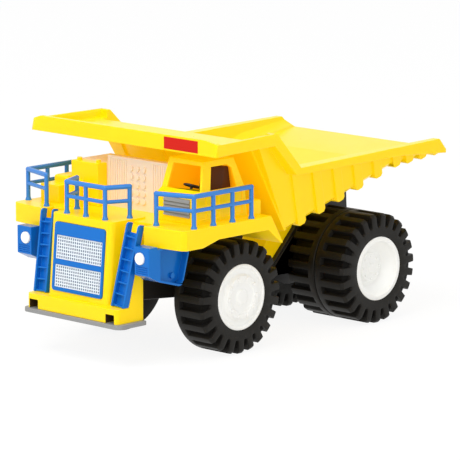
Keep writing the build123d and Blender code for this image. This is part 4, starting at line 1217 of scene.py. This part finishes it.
@dataclass
class UpperBody:
    """Deck, cab, railings and what stands on the deck.

    Attributes:
        shop: The workshop that finishes pieces.
        mouldings: The mouldings with their finishes and round edges. The hood's ribs and the
            railings' thin tubes keep the edges that the CAD gives them.
    """

    shop: Workshop
    mouldings: tuple[MouldedCopy, ...] = (
        MouldedCopy("deck", YELLOW, edge_radius=0.8),
        # The cab's inside gets the copy of the yellow with a strong painted glow.
        MouldedCopy("cab", YELLOW, edge_radius=0.5, recess=Cavity(), painted_light_finish=CAB_PAINTED_GLOW_YELLOW),
        MouldedCopy("cab_louvre", GREY, edge_radius=0.25),
        MouldedCopy("dashboard", GREY, edge_radius=0.5),
        MouldedCopy("seat", BROWN, edge_radius=1.2),
        MouldedCopy("steering_wheel", BLACK, edge_radius=0.2),
        MouldedCopy("hood", CREAM, edge_radius=0.0, flat_angle=0.0),
        MouldedCopy("cabinet", YELLOW, edge_radius=0.9),
        MouldedCopy("air_cleaner", YELLOW, edge_radius=0.4),
        MouldedCopy("step_boxes", YELLOW, edge_radius=0.8),
        MouldedCopy("rear_box", YELLOW, edge_radius=0.5),
        MouldedCopy("railing_left", RAIL_PAINTED_LIGHT_BLUE, edge_radius=0.0, flat_angle=0.0),
        MouldedCopy("railing_right", RAIL_PAINTED_LIGHT_BLUE, edge_radius=0.0, flat_angle=0.0),
        MouldedCopy("railing_centre", RAIL_PAINTED_LIGHT_BLUE, edge_radius=0.0, flat_angle=0.0),
    )

    def build(self) -> None:
        """Round and finish each moulding of the deck and the cab."""
        for moulding in self.mouldings:
            moulding.build(self.shop)


@dataclass
class TippingBed:
    """Dump bed with its blank red sticker.

    Attributes:
        shop: The workshop that finishes pieces.
        canopy_corner: Box round the canopy's front corner, whose thin edges have no room for a round.
        bed_edge: Radius of the bed's round edges.
        bed_flat_angle: Faces of the bed up to this many degrees apart become one.
        sticker_edge: Radius of the sticker's round edges.
    """

    shop: Workshop
    canopy_corner: Zone = Zone((135.0, 120.0, 240.0), (175.0, 150.0, 256.0))
    bed_edge: float = 0.8
    bed_flat_angle: float = 0.01
    sticker_edge: float = 0.15

    def build(self) -> None:
        """Round and finish the bed and its sticker."""
        MouldedCopy("dump_bed", YELLOW, Body.BED, edge_radius=self.bed_edge, crisp=self.canopy_corner,
                    flat_angle=self.bed_flat_angle).build(self.shop)
        MouldedCopy("sticker", RED_FILM, Body.BED, edge_radius=self.sticker_edge).build(self.shop)


# Studio


@dataclass(frozen=True)
class SoftBox:
    """One square area lamp that looks at the truck. Its lengths are metres.

    Attributes:
        name: Name of the lamp.
        location: Where it hangs.
        size: Side of the square.
        power: Its power in watts.
        target: The point that it looks at, by default the truck's middle.
    """

    name: str
    location: tuple[float, float, float]
    size: float
    power: float
    target: tuple[float, float, float] = (0.0, 0.0, 0.12)

    def build(self) -> None:
        """Hang the lamp and turn it to its target."""
        lamp = bpy.data.lights.new(self.name, "AREA")
        lamp.shape = "SQUARE"
        lamp.size = self.size
        lamp.energy = self.power
        made = bpy.data.objects.new(self.name, lamp)
        made.location = self.location
        aim = Vector(self.target) - Vector(self.location)
        made.rotation_euler = aim.to_track_quat("-Z", "Y").to_euler()
        bpy.context.scene.collection.objects.link(made)


@dataclass
class Studio:
    """White room: floor, world and soft lamps. Its lengths are metres.

    Attributes:
        floor_size: Side of the square floor.
        floor_colour: Colour of the floor.
        floor_roughness: Roughness of the floor.
        floor_glow: Share of plain white in the floor as the camera sees it.
        floor_strength: Brightness of that white.
        world_level: Strength of the even light on the truck.
        lamps: The soft lamps.
    """

    floor_size: float = 14.0
    floor_colour: tuple[float, float, float, float] = (0.88, 0.88, 0.88, 1.0)
    floor_roughness: float = 0.9
    floor_glow: float = 0.84
    floor_strength: float = 1.06
    world_level: float = 0.62
    lamps: tuple[SoftBox, ...] = (
        SoftBox("Key softbox", (1.3, 0.2, 2.2), 1.6, 34.0),
        SoftBox("Front softbox", (2.4, 1.2, 0.9), 1.4, 9.0),
        SoftBox("Side softbox", (0.2, 2.6, 1.3), 1.6, 7.0),
    )

    def build(self) -> None:
        """Make the floor, the world and the lamps."""
        self._world()
        self._floor()
        for lamp in self.lamps:
            lamp.build()

    @staticmethod
    def _seen_directly(tree: bpy.types.NodeTree) -> bpy.types.NodeSocket:
        """Mask that is 1 where the camera, a reflection or a clear piece looks.

        Args:
            tree: Node tree of the floor or the world.

        Returns:
            The socket with the mask.
        """
        path = tree.nodes.new("ShaderNodeLightPath")
        either = math_node(tree, "MAXIMUM")
        whole = math_node(tree, "MAXIMUM")
        tree.links.new(path.outputs["Is Camera Ray"], either.inputs[0])
        tree.links.new(path.outputs["Is Glossy Ray"], either.inputs[1])
        tree.links.new(either.outputs[0], whole.inputs[0])
        tree.links.new(path.outputs["Is Transmission Ray"], whole.inputs[1])
        return whole.outputs[0]

    @staticmethod
    def _mixed(tree: bpy.types.NodeTree, share: bpy.types.NodeSocket, plain: bpy.types.Node,
               bright: bpy.types.Node) -> bpy.types.NodeSocket:
        """Mix two shaders.

        Args:
            tree: Their node tree.
            share: Share of the bright one.
            plain: What lights the truck.
            bright: What the camera sees.

        Returns:
            The socket with the mix.
        """
        mix = tree.nodes.new("ShaderNodeMixShader")
        tree.links.new(share, mix.inputs["Fac"])
        tree.links.new(plain.outputs[0], mix.inputs[1])
        tree.links.new(bright.outputs[0], mix.inputs[2])
        return mix.outputs[0]

    def _world(self) -> None:
        """White behind everything, and a plain even light on the truck."""
        world = bpy.data.worlds.new("White room")
        world.use_nodes = True
        tree = world.node_tree
        light = tree.nodes["Background"]
        light.inputs["Color"].default_value = (1.0, 1.0, 1.0, 1.0)
        light.inputs["Strength"].default_value = self.world_level
        white = tree.nodes.new("ShaderNodeBackground")
        white.inputs["Color"].default_value = (1.0, 1.0, 1.0, 1.0)
        mixed = self._mixed(tree, self._seen_directly(tree), light, white)
        tree.links.new(mixed, tree.nodes["World Output"].inputs["Surface"])
        bpy.context.scene.world = world

    def _floor(self) -> None:
        """Pale floor that keeps the truck's shadow faint, as a white table would."""
        bm = bmesh.new()
        bmesh.ops.create_grid(bm, x_segments=1, y_segments=1, size=self.floor_size / 2)
        mesh = bpy.data.meshes.new("studio_floor")
        bm.to_mesh(mesh)
        bm.free()
        mesh.materials.append(self._table())
        floor = bpy.data.objects.new("studio_floor", mesh)
        bpy.context.scene.collection.objects.link(floor)

    def _table(self) -> bpy.types.Material:
        """Material of the floor.

        Returns:
            A pale matt surface that looks nearly plain white to the camera.
        """
        material = bpy.data.materials.new("White table")
        material.use_nodes = True
        tree = material.node_tree
        shader = tree.nodes["Principled BSDF"]
        shader.inputs["Base Color"].default_value = self.floor_colour
        shader.inputs["Roughness"].default_value = self.floor_roughness
        glow = tree.nodes.new("ShaderNodeEmission")
        glow.inputs["Strength"].default_value = self.floor_strength
        share = math_node(tree, "MULTIPLY")
        share.inputs[1].default_value = self.floor_glow
        tree.links.new(self._seen_directly(tree), share.inputs[0])
        mixed = self._mixed(tree, share.outputs[0], shader, glow)
        tree.links.new(mixed, tree.nodes["Material Output"].inputs["Surface"])
        return material


@dataclass(frozen=True)
class CatalogueCamera:
    """Camera of the picture: a long lens a little above the truck's left front corner.

    Attributes:
        location: Place of the lens in metres.
        heading: Direction that it looks in, in radians from +X towards +Y.
        pitch: Angle in radians by which it looks up, or down where it is below 0.
        focal_pixels: Focal length in pixels of the picture.
        frame_pixels: Width of the picture in pixels.
        sensor: Width of the sensor in millimetres.
        clip_end: Distance in metres to which it sees.
    """

    location: tuple[float, float, float] = (2.80969, 2.71829, 0.83900)
    heading: float = -2.374975
    pitch: float = -0.183116
    focal_pixels: float = 3455.22
    frame_pixels: float = 460.0
    sensor: float = 36.0
    clip_end: float = 30.0

    def build(self) -> None:
        """Place the camera and make it the scene's."""
        data = bpy.data.cameras.new("Catalogue camera")
        data.sensor_width = self.sensor
        data.lens = self.focal_pixels * self.sensor / self.frame_pixels
        data.clip_end = self.clip_end
        camera = bpy.data.objects.new("Catalogue camera", data)
        camera.location = self.location
        camera.rotation_euler = (math.pi / 2 + self.pitch, 0.0, self.heading - math.pi / 2)
        bpy.context.scene.collection.objects.link(camera)
        bpy.context.scene.camera = camera


def main() -> None:
    """Build the studio, then each sub-assembly in order."""
    logging.basicConfig(level=logging.INFO, format="%(name)s: %(message)s")
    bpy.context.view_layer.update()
    bpy.context.scene.view_settings.view_transform = "Standard"
    CatalogueCamera().build()
    Studio().build()
    shop = Workshop()
    for assembly in (Backbone(shop), Wheels(shop), FrontBody(shop), UpperBody(shop), TippingBed(shop)):
        assembly.build()
        LOG.info("%s finished", type(assembly).__name__)


if __name__ == "__main__":
    main()
